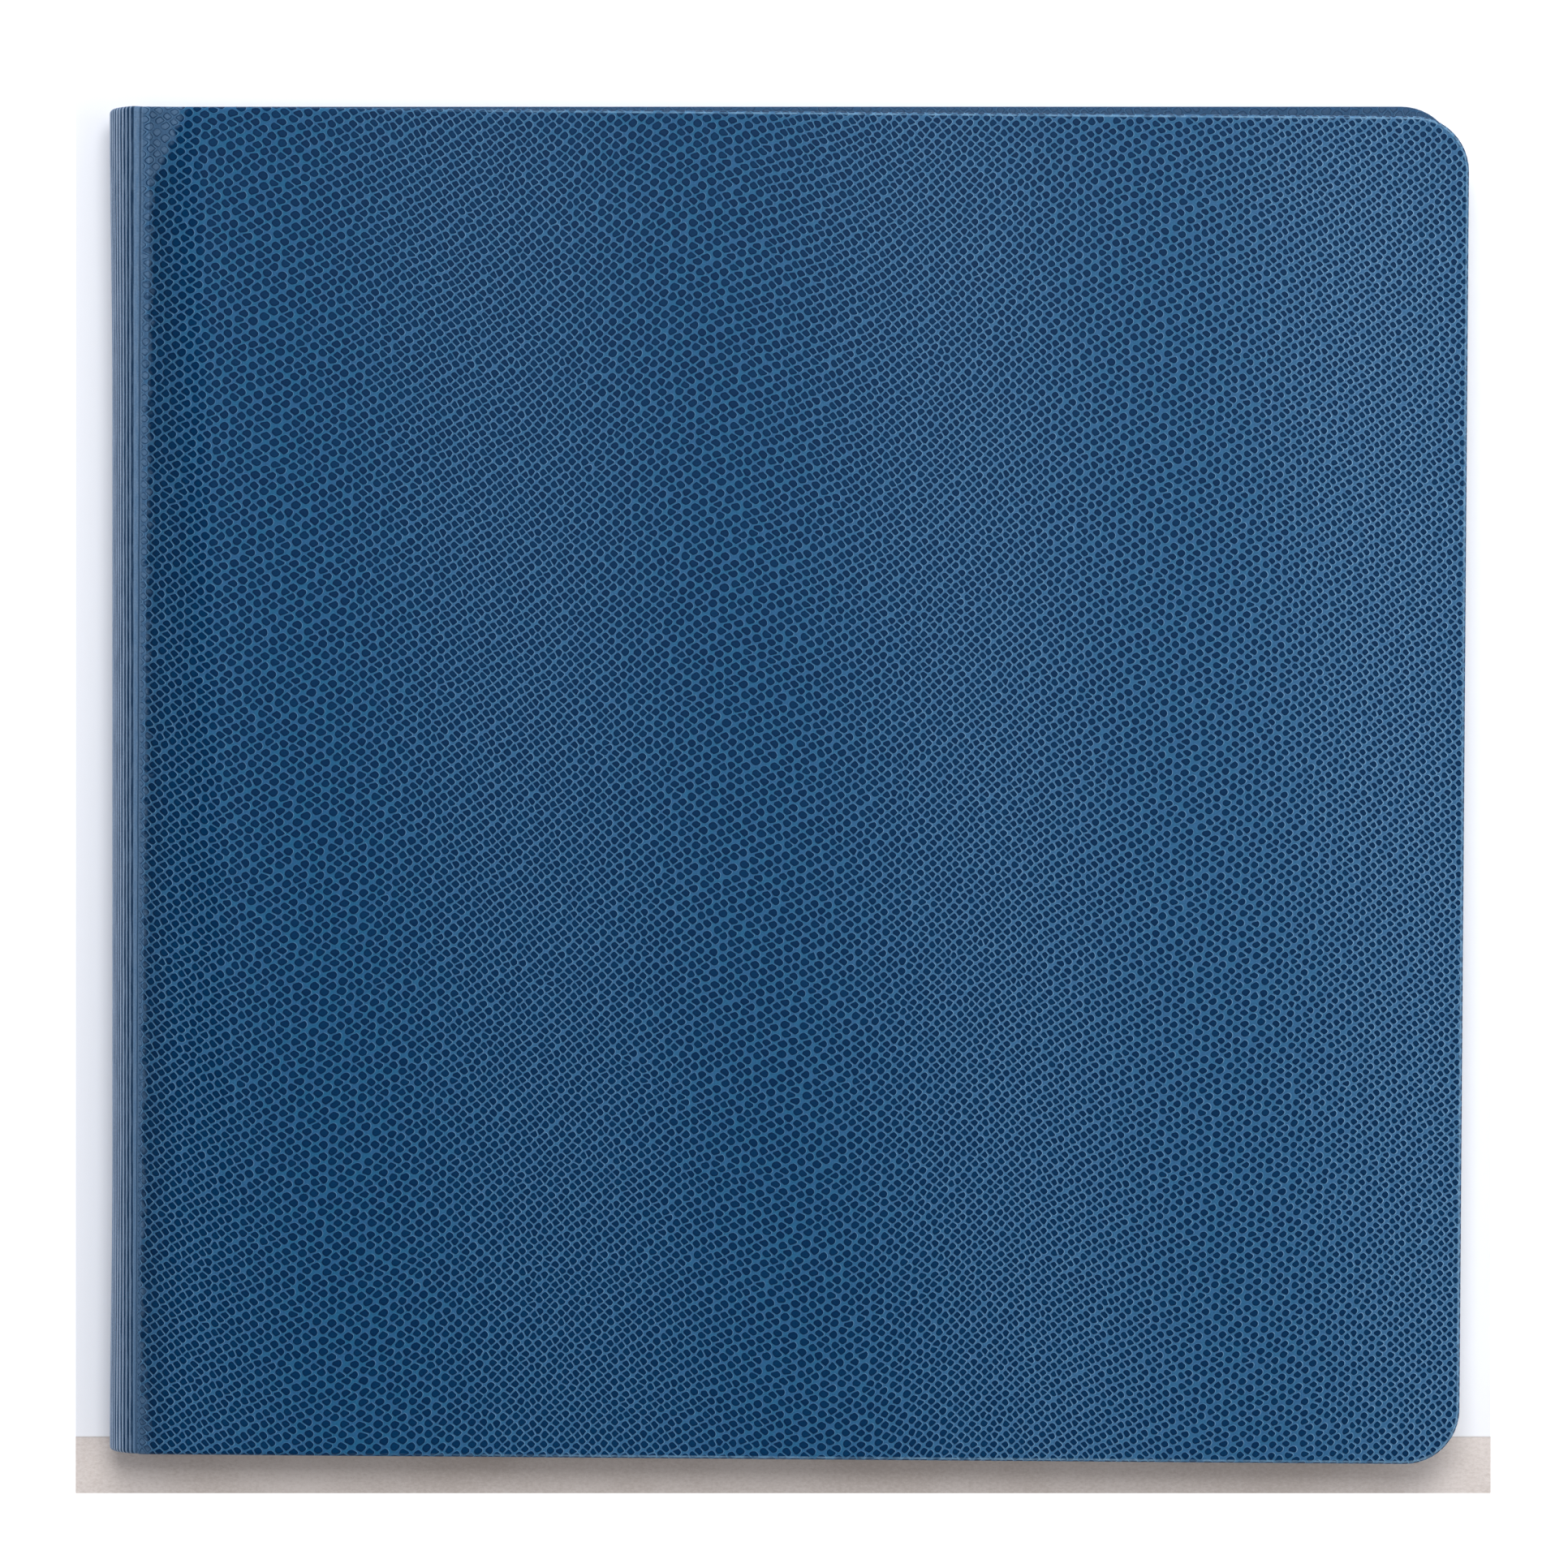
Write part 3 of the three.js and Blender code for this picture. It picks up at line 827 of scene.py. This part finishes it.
@dataclass
class CoverPlane:
    """Where a cover lies: its hinge edge's middle, its turn on the table and which way up it is."""

    side: Side
    total: float
    edge_x: float = field(init=False)
    edge_y: float = field(init=False)
    turn: float = field(init=False)

    def __post_init__(self) -> None:
        """Reads the hinge edge off the cover's packed board wrap."""
        corners = [v.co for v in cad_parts[f"{self.side.value}_wrap"].data.vertices]
        head = min(corners, key=lambda c: c.x - c.y)
        tail = min(corners, key=lambda c: c.x + c.y)
        self.edge_x, self.edge_y = (head.x + tail.x) / 2, (head.y + tail.y) / 2
        self.turn = math.atan2(head.x - tail.x, head.y - tail.y)

    def place(self, x: float, y: float, depth: float) -> Point:
        """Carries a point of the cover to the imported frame.

        Args:
            x: Distance from the hinge edge towards the fore-edge.
            y: Distance from the middle towards the head.
            depth: Distance in from the outer face.

        Returns:
            The point.
        """
        c, s = math.cos(self.turn), math.sin(self.turn)
        z = depth if self.side is Side.BACK else self.total - depth
        return (self.edge_x + x * c + y * s, self.edge_y - x * s + y * c, z)


@dataclass
class Case:
    """The leatherette case: two covers, the ribbed spine and the two flexing joints between them."""

    effects: Effects
    turn_in: float = 12 * MM
    corner: float = 13 * MM
    edge_round: float = 0.95 * MM
    cover_depth: float = 2.95 * MM
    spine_depth: float = 1.9 * MM
    skin: float = 0.42 * MM
    ribs: int = 21
    rib_groove: float = 0.2 * MM
    rows_per_rib: int = 8
    flare: float = 0.6 * MM
    flare_length: float = 70 * MM
    crease: float = 0.62 * MM

    def __post_init__(self) -> None:
        """Works the case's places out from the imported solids."""
        low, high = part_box("back_wrap")
        arc_low, arc_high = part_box("spine_wrap")
        front_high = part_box("front_wrap")[1]
        self.total = front_high.z
        self.half = (high.y - low.y) / 2
        self.width = high.x - low.x
        self.back = CoverPlane(Side.BACK, self.total)
        self.front = CoverPlane(Side.FRONT, self.total)
        self.spine_y = (arc_low.y + arc_high.y) / 2
        outer = [v.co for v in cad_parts["spine_wrap"].data.vertices if v.co.z > arc_high.z - 0.01 * MM]
        self.arc_edge = min(c.x for c in outer)
        bulge = self.arc_edge - arc_low.x
        arc_half = (arc_high.z - arc_low.z) / 2
        self.radius = (arc_half**2 + bulge**2) / (2 * bulge)
        self.centre = (arc_low.x + self.radius, self.total / 2)
        self.sweep = math.asin(arc_half / self.radius)
        self.joint_length = self.back.edge_x - self.arc_edge
        self.arc_length = 2 * self.sweep * self.radius
        self.spine_middle = self.front.edge_x - self.joint_length - self.arc_length / 2
        self.reach = self.front.edge_x - self.spine_middle
        rib_pitch = self.arc_length / self.ribs
        places = SkinMap(self.spine_middle, self.arc_length / 2, self.reach, self.half, rib_pitch)
        self.leatherette = Leatherette(self.effects).material(places)

    def edge_profile(self, depth: float) -> list[Point]:
        """The fold round an edge, from the turn-in's cut edge to the outer face.

        Args:
            depth: Thickness from the outer face to the top of the turn-in.

        Returns:
            Inset from the edge, depth from the outer face, and inset once unrolled, for each point.
        """
        r = min(self.edge_round, depth / 2)
        steps = 4
        points = [(self.turn_in * k / 3, depth) for k in (3, 2, 1)] + [(r + 0.5 * MM, depth)]
        for k in range(steps + 1):
            a = math.pi / 2 * k / steps
            points.append((r - r * math.sin(a), depth - r + r * math.cos(a)))
        for k in range(steps + 1):
            a = math.pi / 2 * k / steps
            points.append((r - r * math.cos(a), r - r * math.sin(a)))
        points += [(r + 0.5 * MM, 0.0), (r + 2.0 * MM, 0.0)]
        rolled, path = [], points[-1][0]
        for i in range(len(points) - 1, -1, -1):
            if i < len(points) - 1:
                path -= math.dist(points[i], points[i + 1])
            rolled.append((*points[i], path))
        return rolled[::-1]

    def outline(self, inset: float) -> list[Flat]:
        """A cover's three free edges, from the hinge at the tail round to the hinge at the head.

        Args:
            inset: How far in from the edges.

        Returns:
            Distance from the hinge edge and distance towards the head, for each point.
        """
        right, top = self.width - inset, self.half - inset
        r = max(self.corner - inset, 0.3 * MM)
        long_steps, arc_steps = 24, 12
        points = [(lerp(0, right - r, i / long_steps), -top) for i in range(long_steps)]
        for i in range(arc_steps):
            a = math.pi / 2 * i / arc_steps
            points.append((right - r + r * math.sin(a), -top + r - r * math.cos(a)))
        points += [(right, lerp(r - top, top - r, i / long_steps)) for i in range(long_steps)]
        for i in range(arc_steps):
            a = math.pi / 2 * i / arc_steps
            points.append((right - r + r * math.cos(a), top - r + r * math.sin(a)))
        points += [(lerp(right - r, 0, i / long_steps), top) for i in range(long_steps + 1)]
        return points

    def skin_u(self, side: Side, x: float) -> float:
        """A cover's distance from its hinge edge as a place in the skin map."""
        return self.front.edge_x + x if side is Side.FRONT else self.spine_middle - self.reach - x

    def cover_skin(self, plane: CoverPlane) -> bpy.types.Object:
        """Makes the leatherette over one board: outer face, folded edges and turn-ins.

        Args:
            plane: Where the cover lies.

        Returns:
            The skin.
        """
        verts, uvs, edges = [], [], []
        profile = self.edge_profile(self.cover_depth)
        for inset, depth, rolled in profile:
            flat = self.outline(rolled)
            for (x, y), (u, v) in zip(self.outline(inset), flat):
                verts.append(plane.place(x, y, depth))
                uvs.append((self.skin_u(plane.side, u), v))
                edges.append(rolled)
        columns = len(verts) // len(profile)
        back = plane.side is Side.BACK
        faces = grid_faces(len(profile), columns, flip=back)
        last = list(range(len(verts) - columns, len(verts)))
        faces.append(tuple(last[::-1] if back else last))
        skin = make_object(f"{plane.side.value}_skin", verts, faces, self.leatherette, uvs, edges)
        thicken(skin, self.skin)
        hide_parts(f"{plane.side.value}_wrap")
        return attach(skin, f"{plane.side.value}_cover")

    def columns(self, depth: float) -> list[Point]:
        """Places along the spine: the fold at the tail, the outer face and the fold at the head.

        Args:
            depth: Thickness of the folded edge.

        Returns:
            Distance towards the head, depth from the outer face and distance once unrolled.
        """
        profile = self.edge_profile(depth)
        tail = [(inset - self.half, d, rolled - self.half) for inset, d, rolled in profile]
        head = [(self.half - inset, d, self.half - rolled) for inset, d, rolled in profile[::-1]]
        steps = 48
        start, end = tail[-1][0], head[0][0]
        face = [(lerp(start, end, i / steps),) * 3 for i in range(1, steps)]
        return tail + [(y, 0.0, y) for y, _, _ in face] + head

    def spine_point(self, s: float, y: float, depth: float) -> Point:
        """A point of the spine's skin.

        Args:
            s: 0 at the front edge of the arc to 1 at the back edge.
            y: Distance towards the head.
            depth: Distance in from the outer face.

        Returns:
            The point.
        """
        angle = math.pi - self.sweep + 2 * self.sweep * s
        inside = min(depth / self.spine_depth, 1.0)
        groove = self.rib_groove * (0.5 + 0.5 * math.cos(2 * math.pi * self.ribs * s)) * (1 - inside)
        flared = smooth((abs(y) - self.half + self.flare_length) / self.flare_length)
        r = self.radius - groove - depth + self.flare * flared * math.sin(math.pi * s)
        return (self.centre[0] + r * math.cos(angle), y + self.spine_y, self.centre[1] + r * math.sin(angle))

    def spine_skin(self) -> bpy.types.Object:
        """Makes the ribbed leatherette over the spine, folded in at head and tail.

        Returns:
            The skin.
        """
        columns = self.columns(self.spine_depth)
        rows = self.ribs * self.rows_per_rib + 1
        verts, uvs = [], []
        edges = [self.half - abs(rolled) for _, _, rolled in columns] * rows
        for i in range(rows):
            s = i / (rows - 1)
            for y, depth, rolled in columns:
                verts.append(self.spine_point(s, y, depth))
                uvs.append((self.spine_middle + self.arc_length * (0.5 - s), rolled))
        faces = grid_faces(rows, len(columns))
        skin = make_object("spine_skin", verts, faces, self.leatherette, uvs, edges)
        thicken(skin, self.skin)
        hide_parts("spine_wrap")
        return self.flatten(skin)

    def flatten(self, piece: bpy.types.Object) -> bpy.types.Object:
        """Lets a spine piece ride on the spine, with a mesh of its own.

        Args:
            piece: The spine piece.

        Returns:
            The piece.
        """
        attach(piece, "spine")
        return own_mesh(piece)

    def joint_skin(self, plane: CoverPlane) -> bpy.types.Object:
        """Makes the flexing leatherette between a cover and the spine, with its pressed crease.

        Args:
            plane: The cover's place.

        Returns:
            The skin.
        """
        front = plane.side is Side.FRONT
        s_end = 0.0 if front else 1.0
        angle = math.pi - self.sweep if front else math.pi + self.sweep
        turn = 1.0 if front else -1.0
        leave = Vector((-math.sin(angle), math.cos(angle))) * turn
        near, far = self.columns(self.cover_depth), self.columns(self.spine_depth)
        rows = 17
        verts, uvs = [], []
        for i in range(rows):
            t = i / (rows - 1)
            dip = self.crease * math.sin(math.pi * t) ** 2 * turn
            for (ya, da, rolled), (yb, db, _) in zip(near, far):
                a = Vector(plane.place(0.0, ya, da))
                b = Vector(self.spine_point(s_end, yb, db))
                chord = (b - a).length
                h = (2 * t**3 - 3 * t**2 + 1, t**3 - 2 * t**2 + t, 3 * t**2 - 2 * t**3, t**3 - t**2)
                x = h[0] * a.x + h[1] * -chord + h[2] * b.x + h[3] * leave.x * chord
                z = h[0] * a.z + h[2] * b.z + h[3] * leave.y * chord
                verts.append((x, lerp(a.y, b.y, t), z - dip))
                u = self.skin_u(plane.side, 0.0) - self.joint_length * t * turn
                uvs.append((u, rolled))
        faces = grid_faces(rows, len(near), flip=not front)
        edges = [self.half - abs(rolled) for _, _, rolled in near] * rows
        skin = make_object(f"{plane.side.value}_joint_skin", verts, faces, self.leatherette, uvs, edges)
        thicken(skin, self.skin)
        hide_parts(f"{plane.side.value}_joint")
        z = verts[0][2]
        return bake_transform(skin)

    def spine_layer(self, name: str, node: str, depth: float, thickness: float, margin: float,
                    material: bpy.types.Material) -> bpy.types.Object:
        """Makes a curved layer inside the spine.

        Args:
            name: The piece's name.
            node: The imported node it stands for.
            depth: Depth of its outer face under the skin's.
            thickness: Its thickness.
            margin: How far it stops short of head and tail.
            material: Its finish.

        Returns:
            The layer.
        """
        rows, columns = 21, 41
        verts = []
        for i in range(rows):
            for j in range(columns):
                y = lerp(margin - self.half, self.half - margin, j / (columns - 1))
                s = lerp(0.01, 0.99, i / (rows - 1))
                base = Vector(self.spine_point(s, y, self.spine_depth))
                hub = Vector((self.centre[0], base.y, self.centre[1]))
                verts.append(base + (base - hub).normalized() * (self.spine_depth - depth))
        layer = make_object(name, verts, grid_faces(rows, columns), material)
        thicken(layer, thickness)
        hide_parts(node)
        return self.flatten(layer)

    def build(self) -> None:
        """Makes and dresses every piece of the case."""
        board = GREYBOARD.material(self.effects)
        lining = LINING_PAPER.material(self.effects)
        for plane in (self.back, self.front):
            log.info("made %s and %s", self.cover_skin(plane).name, self.joint_skin(plane).name)
            dress(f"{plane.side.value}_board", board)
            dress(f"{plane.side.value}_liner", lining, 0.08 * MM)
        log.info("made %s", self.spine_skin().name)
        self.spine_layer("spine_board", "spine_core", 0.55 * MM, 0.8 * MM, 1.2 * MM, board)
        self.spine_layer("spine_lining", "spine_liner", 1.95 * MM, 0.25 * MM, 5 * MM, lining)


def dress(node: str, material: bpy.types.Material, round_edge: float = 0.0) -> bpy.types.Object:
    """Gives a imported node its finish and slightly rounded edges.

    Args:
        node: The node's name.
        material: Its finish.
        round_edge: Width of the rounding, or 0 for none.

    Returns:
        The node's object.
    """
    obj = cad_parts[node]
    obj.data.materials.clear()
    obj.data.materials.append(material)
    if round_edge:
        rounding = obj.modifiers.new("Rounded edge", "BEVEL")
        rounding.width = round_edge
        rounding.segments = 2
        rounding.limit_method = "ANGLE"
    return obj


# ---- Straps -------------------------------------------------------------------------------------


@dataclass
class Strap:
    """A flat white strap from under one liner, up through the staples and under the other liner."""

    node: str
    material: bpy.types.Material
    thickness: float = 0.4 * MM
    bend: float = 1.2 * MM
    bow: float = 9.4 * MM

    def half_strap(self, side: Side) -> bpy.types.Object:
        """Makes the strap from one cover to its middle height.

        Args:
            side: Which cover it starts under.

        Returns:
            The half strap.
        """
        low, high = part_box(self.node)
        middle = (low.z + high.z) / 2
        tab_z = low.z + self.thickness / 2
        run_x = low.x + self.thickness / 2
        path = [(lerp(high.x, run_x + self.bend, i / 12), tab_z) for i in range(12)]
        for i in range(9):
            a = math.pi / 2 * i / 8
            path.append((run_x + self.bend * (1 - math.sin(a)), tab_z + self.bend * (1 - math.cos(a))))
        path += [(run_x, lerp(tab_z + self.bend, self.bow, i / 10)) for i in range(1, 11)]
        path += [(run_x, lerp(self.bow, middle, i / 14)) for i in range(1, 15)]
        across = 9
        verts = []
        for x, z in path:
            for j in range(across):
                y = lerp(low.y, high.y, j / (across - 1))
                verts.append((x, y, z if side is Side.BACK else 2 * middle - z))
        faces = grid_faces(len(path), across, flip=side is Side.FRONT)
        half = make_object(f"{self.node}_{side.value}_half", verts, faces, self.material)
        thicken(half, self.thickness, offset=0.0)
        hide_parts(self.node)
        if side is Side.BACK:
            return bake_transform(half)
        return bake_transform(half)


# ---- Leaves -------------------------------------------------------------------------------------


@dataclass
class Leaf:
    """One leaf: a card sheet in a clear sleeve, gripped by a white binding strip with two wire staples."""

    number: int
    card: bpy.types.Material
    film: bpy.types.Material
    binding: bpy.types.Material
    wire: bpy.types.Material
    wave: float = 0.16 * MM
    steps: int = 28
    binding_grip: float = 12 * MM
    weld: float = 1.05 * MM
    pocket_room: float = 0.4 * MM
    seam: float = 0.07 * MM
    foot: float = 1.9 * MM

    def __post_init__(self) -> None:
        """Draws this leaf's own waves."""
        draw = random.Random(40 + self.number)
        self.phase = [draw.uniform(0, 2 * math.pi) for _ in range(3)]
        self.lean = draw.uniform(-0.5, 0.5)
        self.body = f"leaf_{self.number}"

    def lift(self, x: float, y: float, reach: float) -> float:
        """How far the card stands off flat.

        Args:
            x: Distance from the binding.
            y: Distance towards the head.
            reach: The sheet's free length.

        Returns:
            The height, at most about twice the wave.
        """
        free = smooth(x / reach)
        ripple = math.sin(9 * x + self.phase[0]) * math.cos(14 * y + self.phase[1])
        curl = math.sin(21 * y + self.phase[2])
        return self.wave * free * (0.7 * ripple + 0.5 * curl + self.lean)

    def sheet(self) -> bpy.types.Object:
        """Makes the card sheet.

        Returns:
            The sheet.
        """
        low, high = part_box(f"{self.body}_sheet")
        n = self.steps
        middle, reach = (low.z + high.z) / 2, high.x - low.x
        verts = []
        for i in range(n + 1):
            for j in range(n + 1):
                x, y = lerp(low.x, high.x, i / n), lerp(low.y, high.y, j / n)
                free = max(x - low.x - self.binding_grip, 0)
                verts.append((x, y, middle + self.lift(free, y, reach)))
        sheet = make_object(f"{self.body}_card", verts, grid_faces(n + 1, n + 1), self.card)
        thicken(sheet, high.z - low.z, offset=0.0)
        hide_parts(f"{self.body}_sheet")
        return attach(sheet, self.body)

    def sleeve(self) -> bpy.types.Object:
        """Makes the clear pocket: two films welded together at head, tail and fore-edge.

        Returns:
            The pocket.
        """
        low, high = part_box(f"{self.body}_sleeve")
        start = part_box(f"{self.body}_sheet")[0].x
        reach = high.x - start
        weld, clear = self.weld, 5 * MM
        middle = (low.z + high.z) / 2
        marks = [0.0, 0.35, 0.7, 1.0, 1.8, 4.0]
        n = self.steps
        xs = [lerp(low.x, high.x - clear, i / n) for i in range(n + 1)]
        xs += [high.x - m * weld for m in marks[-2::-1]]
        ys = [low.y + m * weld for m in marks]
        ys += [lerp(low.y + clear, high.y - clear, j / n) for j in range(n + 1)]
        ys += [high.y - m * weld for m in marks[::-1]]
        verts = []
        for face in (1, -1):
            for x in xs:
                for y in ys:
                    inner = min(high.x - x, y - low.y, high.y - y)
                    h = lerp(self.seam, self.pocket_room, smooth((inner - weld * 0.75) / (weld * 0.4)))
                    base = self.lift(max(x - start - self.binding_grip, 0), y, reach)
                    verts.append((x, y, middle + base + face * h))
        rows, columns = len(xs), len(ys)
        size = rows * columns
        faces = grid_faces(rows, columns) + grid_faces(rows, columns, flip=True, start=size)
        rim = [i * columns for i in range(rows)] + [(rows - 1) * columns + j for j in range(1, columns)]
        rim += [i * columns + columns - 1 for i in range(rows - 2, -1, -1)]
        faces += [(a, b, b + size, a + size) for a, b in zip(rim, rim[1:])]
        sleeve = make_object(f"{self.body}_film", verts, faces, self.film)
        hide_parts(f"{self.body}_sleeve")
        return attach(sleeve, self.body)

    def staple(self, end: str) -> bpy.types.Object:
        """Makes one round-wire staple: crown out over the strap, legs in, feet clinched.

        Args:
            end: Which staple, head or tail.

        Returns:
            The staple.
        """
        node = f"{self.body}_staple_{end}"
        low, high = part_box(node)
        r = (high.z - low.z) / 2
        bend = 2.2 * r
        x0, x1, y0, y1 = low.x + r, high.x - r, low.y + r, high.y - r
        foot = self.foot
        corners = [(x1, y0 + foot), (x1, y0), (x0, y0), (x0, y1), (x1, y1), (x1, y1 - foot)]
        path: list[Flat] = [corners[0]]
        for before, corner, after in zip(corners, corners[1:], corners[2:]):
            c = Vector(corner)
            come, go = (Vector(before) - c).normalized(), (Vector(after) - c).normalized()
            for k in range(7):
                t = k / 6
                reach = min(bend, foot * 0.8)
                path.append(tuple(c + come * reach * (1 - t) ** 2 + go * reach * t**2))
        path.append(corners[-1])
        sides = 10
        verts, faces = [], []
        for i, point in enumerate(path):
            ahead, behind = Vector(path[min(i + 1, len(path) - 1)]), Vector(path[max(i - 1, 0)])
            run = (ahead - behind).normalized()
            out = Vector((run.y, -run.x))
            for k in range(sides):
                a = 2 * math.pi * k / sides
                verts.append((point[0] + out.x * r * math.cos(a), point[1] + out.y * r * math.cos(a),
                              (low.z + high.z) / 2 + r * math.sin(a)))
        for i in range(len(path) - 1):
            for k in range(sides):
                a, b = i * sides + k, i * sides + (k + 1) % sides
                faces.append((a, b, b + sides, a + sides))
        faces += [tuple(range(sides))[::-1], tuple(range(len(verts) - sides, len(verts)))]
        staple = make_object(f"{self.body}_wire_{end}", verts, faces, self.wire)
        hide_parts(node)
        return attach(staple, self.body)

    def build(self) -> None:
        """Makes and dresses every piece of the leaf."""
        self.sheet()
        self.sleeve()
        dress(f"{self.body}_binding", self.binding, 0.2 * MM)
        for end in ("head", "tail"):
            self.staple(end)
        log.info("made %s", self.body)


# ---- Studio -------------------------------------------------------------------------------------


@dataclass(frozen=True)
class Lamp:
    """One soft square lamp that points at the origin."""

    name: str
    place: Point
    size: float
    power: float
    tint: Point

    def hang(self) -> None:
        """Hangs the lamp in the scene."""
        data = bpy.data.lights.new(self.name, "AREA")
        data.size = self.size
        data.energy = self.power
        data.color = self.tint
        lamp = bpy.data.objects.new(self.name, data)
        lamp.location = self.place
        lamp.rotation_euler = (-Vector(self.place)).to_track_quat("-Z", "Y").to_euler()
        bpy.context.scene.collection.objects.link(lamp)


@dataclass
class Studio:
    """A pale board and a stone strip under the album, soft light from the head side, a camera above."""

    floor_size: float = 6.0
    stone_edge: float = -159.1 * MM
    stone_dark: Colour = linear(206, 195, 187)
    stone_light: Colour = linear(226, 217, 211)
    stone_edge_line: Colour = linear(120, 112, 110)
    board_dark: Colour = linear(246, 248, 253)
    board_light: Colour = linear(252, 253, 255)
    mat_low: Flat = (-170.1 * MM, -172.7 * MM)
    mat_high: Flat = (168.7 * MM, 166.7 * MM)
    mat_glow: float = 0.5
    height: float = 1.3
    look: Flat = (-0.0005, -0.0029)
    lens: float = 126.6
    wall_at_tail: Colour = (0.42, 0.33, 0.28, 1.0)
    wall_at_head: Colour = (1.15, 1.22, 1.36, 1.0)
    ceiling: Colour = (0.14, 0.15, 0.17, 1.0)
    room_strength: float = 1.15
    lamps: tuple[Lamp, ...] = (
        Lamp("Key", (0.05, 0.5, 1.25), 0.65, 12.5, (0.99, 0.99, 1.0)),
        Lamp("Side", (0.8, -0.1, 1.2), 0.6, 4.0, (0.97, 0.985, 1.0)),
    )

    def ground_colour(self, graph: Graph, place: Socket, y: Socket) -> Socket:
        """Colours the pale board and the speckled stone beyond its straight edge.

        Args:
            graph: The material's graph.
            place: The place on the floor.
            y: Its distance towards the head.

        Returns:
            The colour.
        """
        pale = graph.mix(graph.noise(place, 3.0, 2.0).outputs[0], self.board_dark, self.board_light)
        fleck = graph.noise(graph.vector("MULTIPLY", place, (0.55, 1.0, 1.0)), 1500.0, 4.0, 0.75).outputs[0]
        cloud = graph.noise(place, 40.0, 3.0).outputs[0]
        speckled = graph.math("MULTIPLY_ADD", fleck, 0.6, graph.math("MULTIPLY", cloud, 0.4))
        stone = graph.mix(graph.ramp(speckled, 0.36, 0.64), self.stone_dark, self.stone_light)
        off = graph.math("ABSOLUTE", graph.math("SUBTRACT", y, self.stone_edge))
        # A darker line along the stone's straight edge.
        stone = graph.mix(graph.ramp(off, 0.0, 0.5 * MM, (0.3, 0.0)), stone, self.stone_edge_line)
        on_stone = graph.ramp(y, self.stone_edge - 0.2 * MM, self.stone_edge + 0.2 * MM, FALLING)
        return graph.mix(on_stone, pale, stone)

    def floor(self) -> None:
        """Lays the floor: board and stone inside a plain white mat that glows with painted light, though it
        is no lamp.
        """
        material, graph, shader = new_material("Pale board on a stone table")
        place = graph.node("TexCoord").outputs["Object"]
        spots = graph.parts(place)
        outside = 0.0
        for spot, low, high in zip(spots, self.mat_low, self.mat_high):
            off = graph.math("ABSOLUTE", graph.math("SUBTRACT", spot, (low + high) / 2))
            half = (high - low) / 2
            outside = graph.math("MAXIMUM", outside, graph.ramp(off, half - 0.1 * MM, half + 0.1 * MM))
        ground = self.ground_colour(graph, place, spots[1])
        graph.wire(graph.mix(outside, ground, WHITE), shader.inputs["Base Color"])
        # The mat glows white: painted light, so it stays white under any lamp.
        graph.wire(graph.mix(outside, BLACK, WHITE), shader.inputs["Emission Color"])
        shader.inputs["Emission Strength"].default_value = self.mat_glow
        shader.inputs["Roughness"].default_value = 0.9
        s = self.floor_size / 2
        corners = [(-s, -s, 0), (s, -s, 0), (s, s, 0), (-s, s, 0)]
        make_object("table", corners, [(0, 1, 2, 3)], material)

    def room(self) -> None:
        """Surrounds the table with walls, warm and dim at the tail, cool and bright at the head."""
        world = bpy.data.worlds.new("Pale room")
        bpy.context.scene.world = world
        world.use_nodes = True
        graph = Graph(world.node_tree)
        aim = graph.node("SeparateXYZ")
        graph.wire(graph.node("TexCoord").outputs["Generated"], aim.inputs[0])
        wall = graph.mix(graph.ramp(aim.outputs[1], -0.5, 0.4), self.wall_at_tail, self.wall_at_head)
        backdrop = graph.node("Background")
        graph.wire(graph.mix(graph.ramp(aim.outputs[2], 0.1, 0.9), wall, self.ceiling), backdrop.inputs[0])
        backdrop.inputs[1].default_value = self.room_strength
        graph.wire(backdrop.outputs[0], graph.node("OutputWorld").inputs[0])

    def camera(self) -> None:
        """Sets the camera straight above, with the head at the top of the frame."""
        data = bpy.data.cameras.new("Overhead camera")
        data.sensor_width = 36.0
        data.lens = self.lens
        data.clip_start = 0.01
        camera = bpy.data.objects.new("Overhead camera", data)
        camera.location = (*self.look, CAD_BOX[1][2] + self.height)
        bpy.context.scene.collection.objects.link(camera)
        bpy.context.scene.camera = camera

    def build(self) -> None:
        """Sets up the room, the floor, the lamps and the camera."""
        bpy.context.scene.view_settings.view_transform = "Standard"
        self.room()
        self.floor()
        for lamp in self.lamps:
            lamp.hang()
        self.camera()


def main() -> None:
    """Builds the album and its studio in order, and reports each piece."""
    logging.basicConfig(level=logging.INFO, format="%(name)s: %(message)s")
    Studio().build()
    effects = Effects()
    Case(effects).build()
    white = STRAP_PLASTIC.material(effects)
    for node in ("strap_head", "strap_tail"):
        strap = Strap(node, white)
        for side in Side:
            log.info("made %s", strap.half_strap(side).name)
    card, strip = PAGE_CARD.material(effects), BINDING_STRIP.material(effects)
    film, wire = ClearFilm(effects).material(), DrawnWire(effects).material()
    count = sum(name.endswith("_sheet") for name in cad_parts)
    for number in range(1, count + 1):
        Leaf(number, card, film, strip, wire).build()


if __name__ == "__main__":
    main()
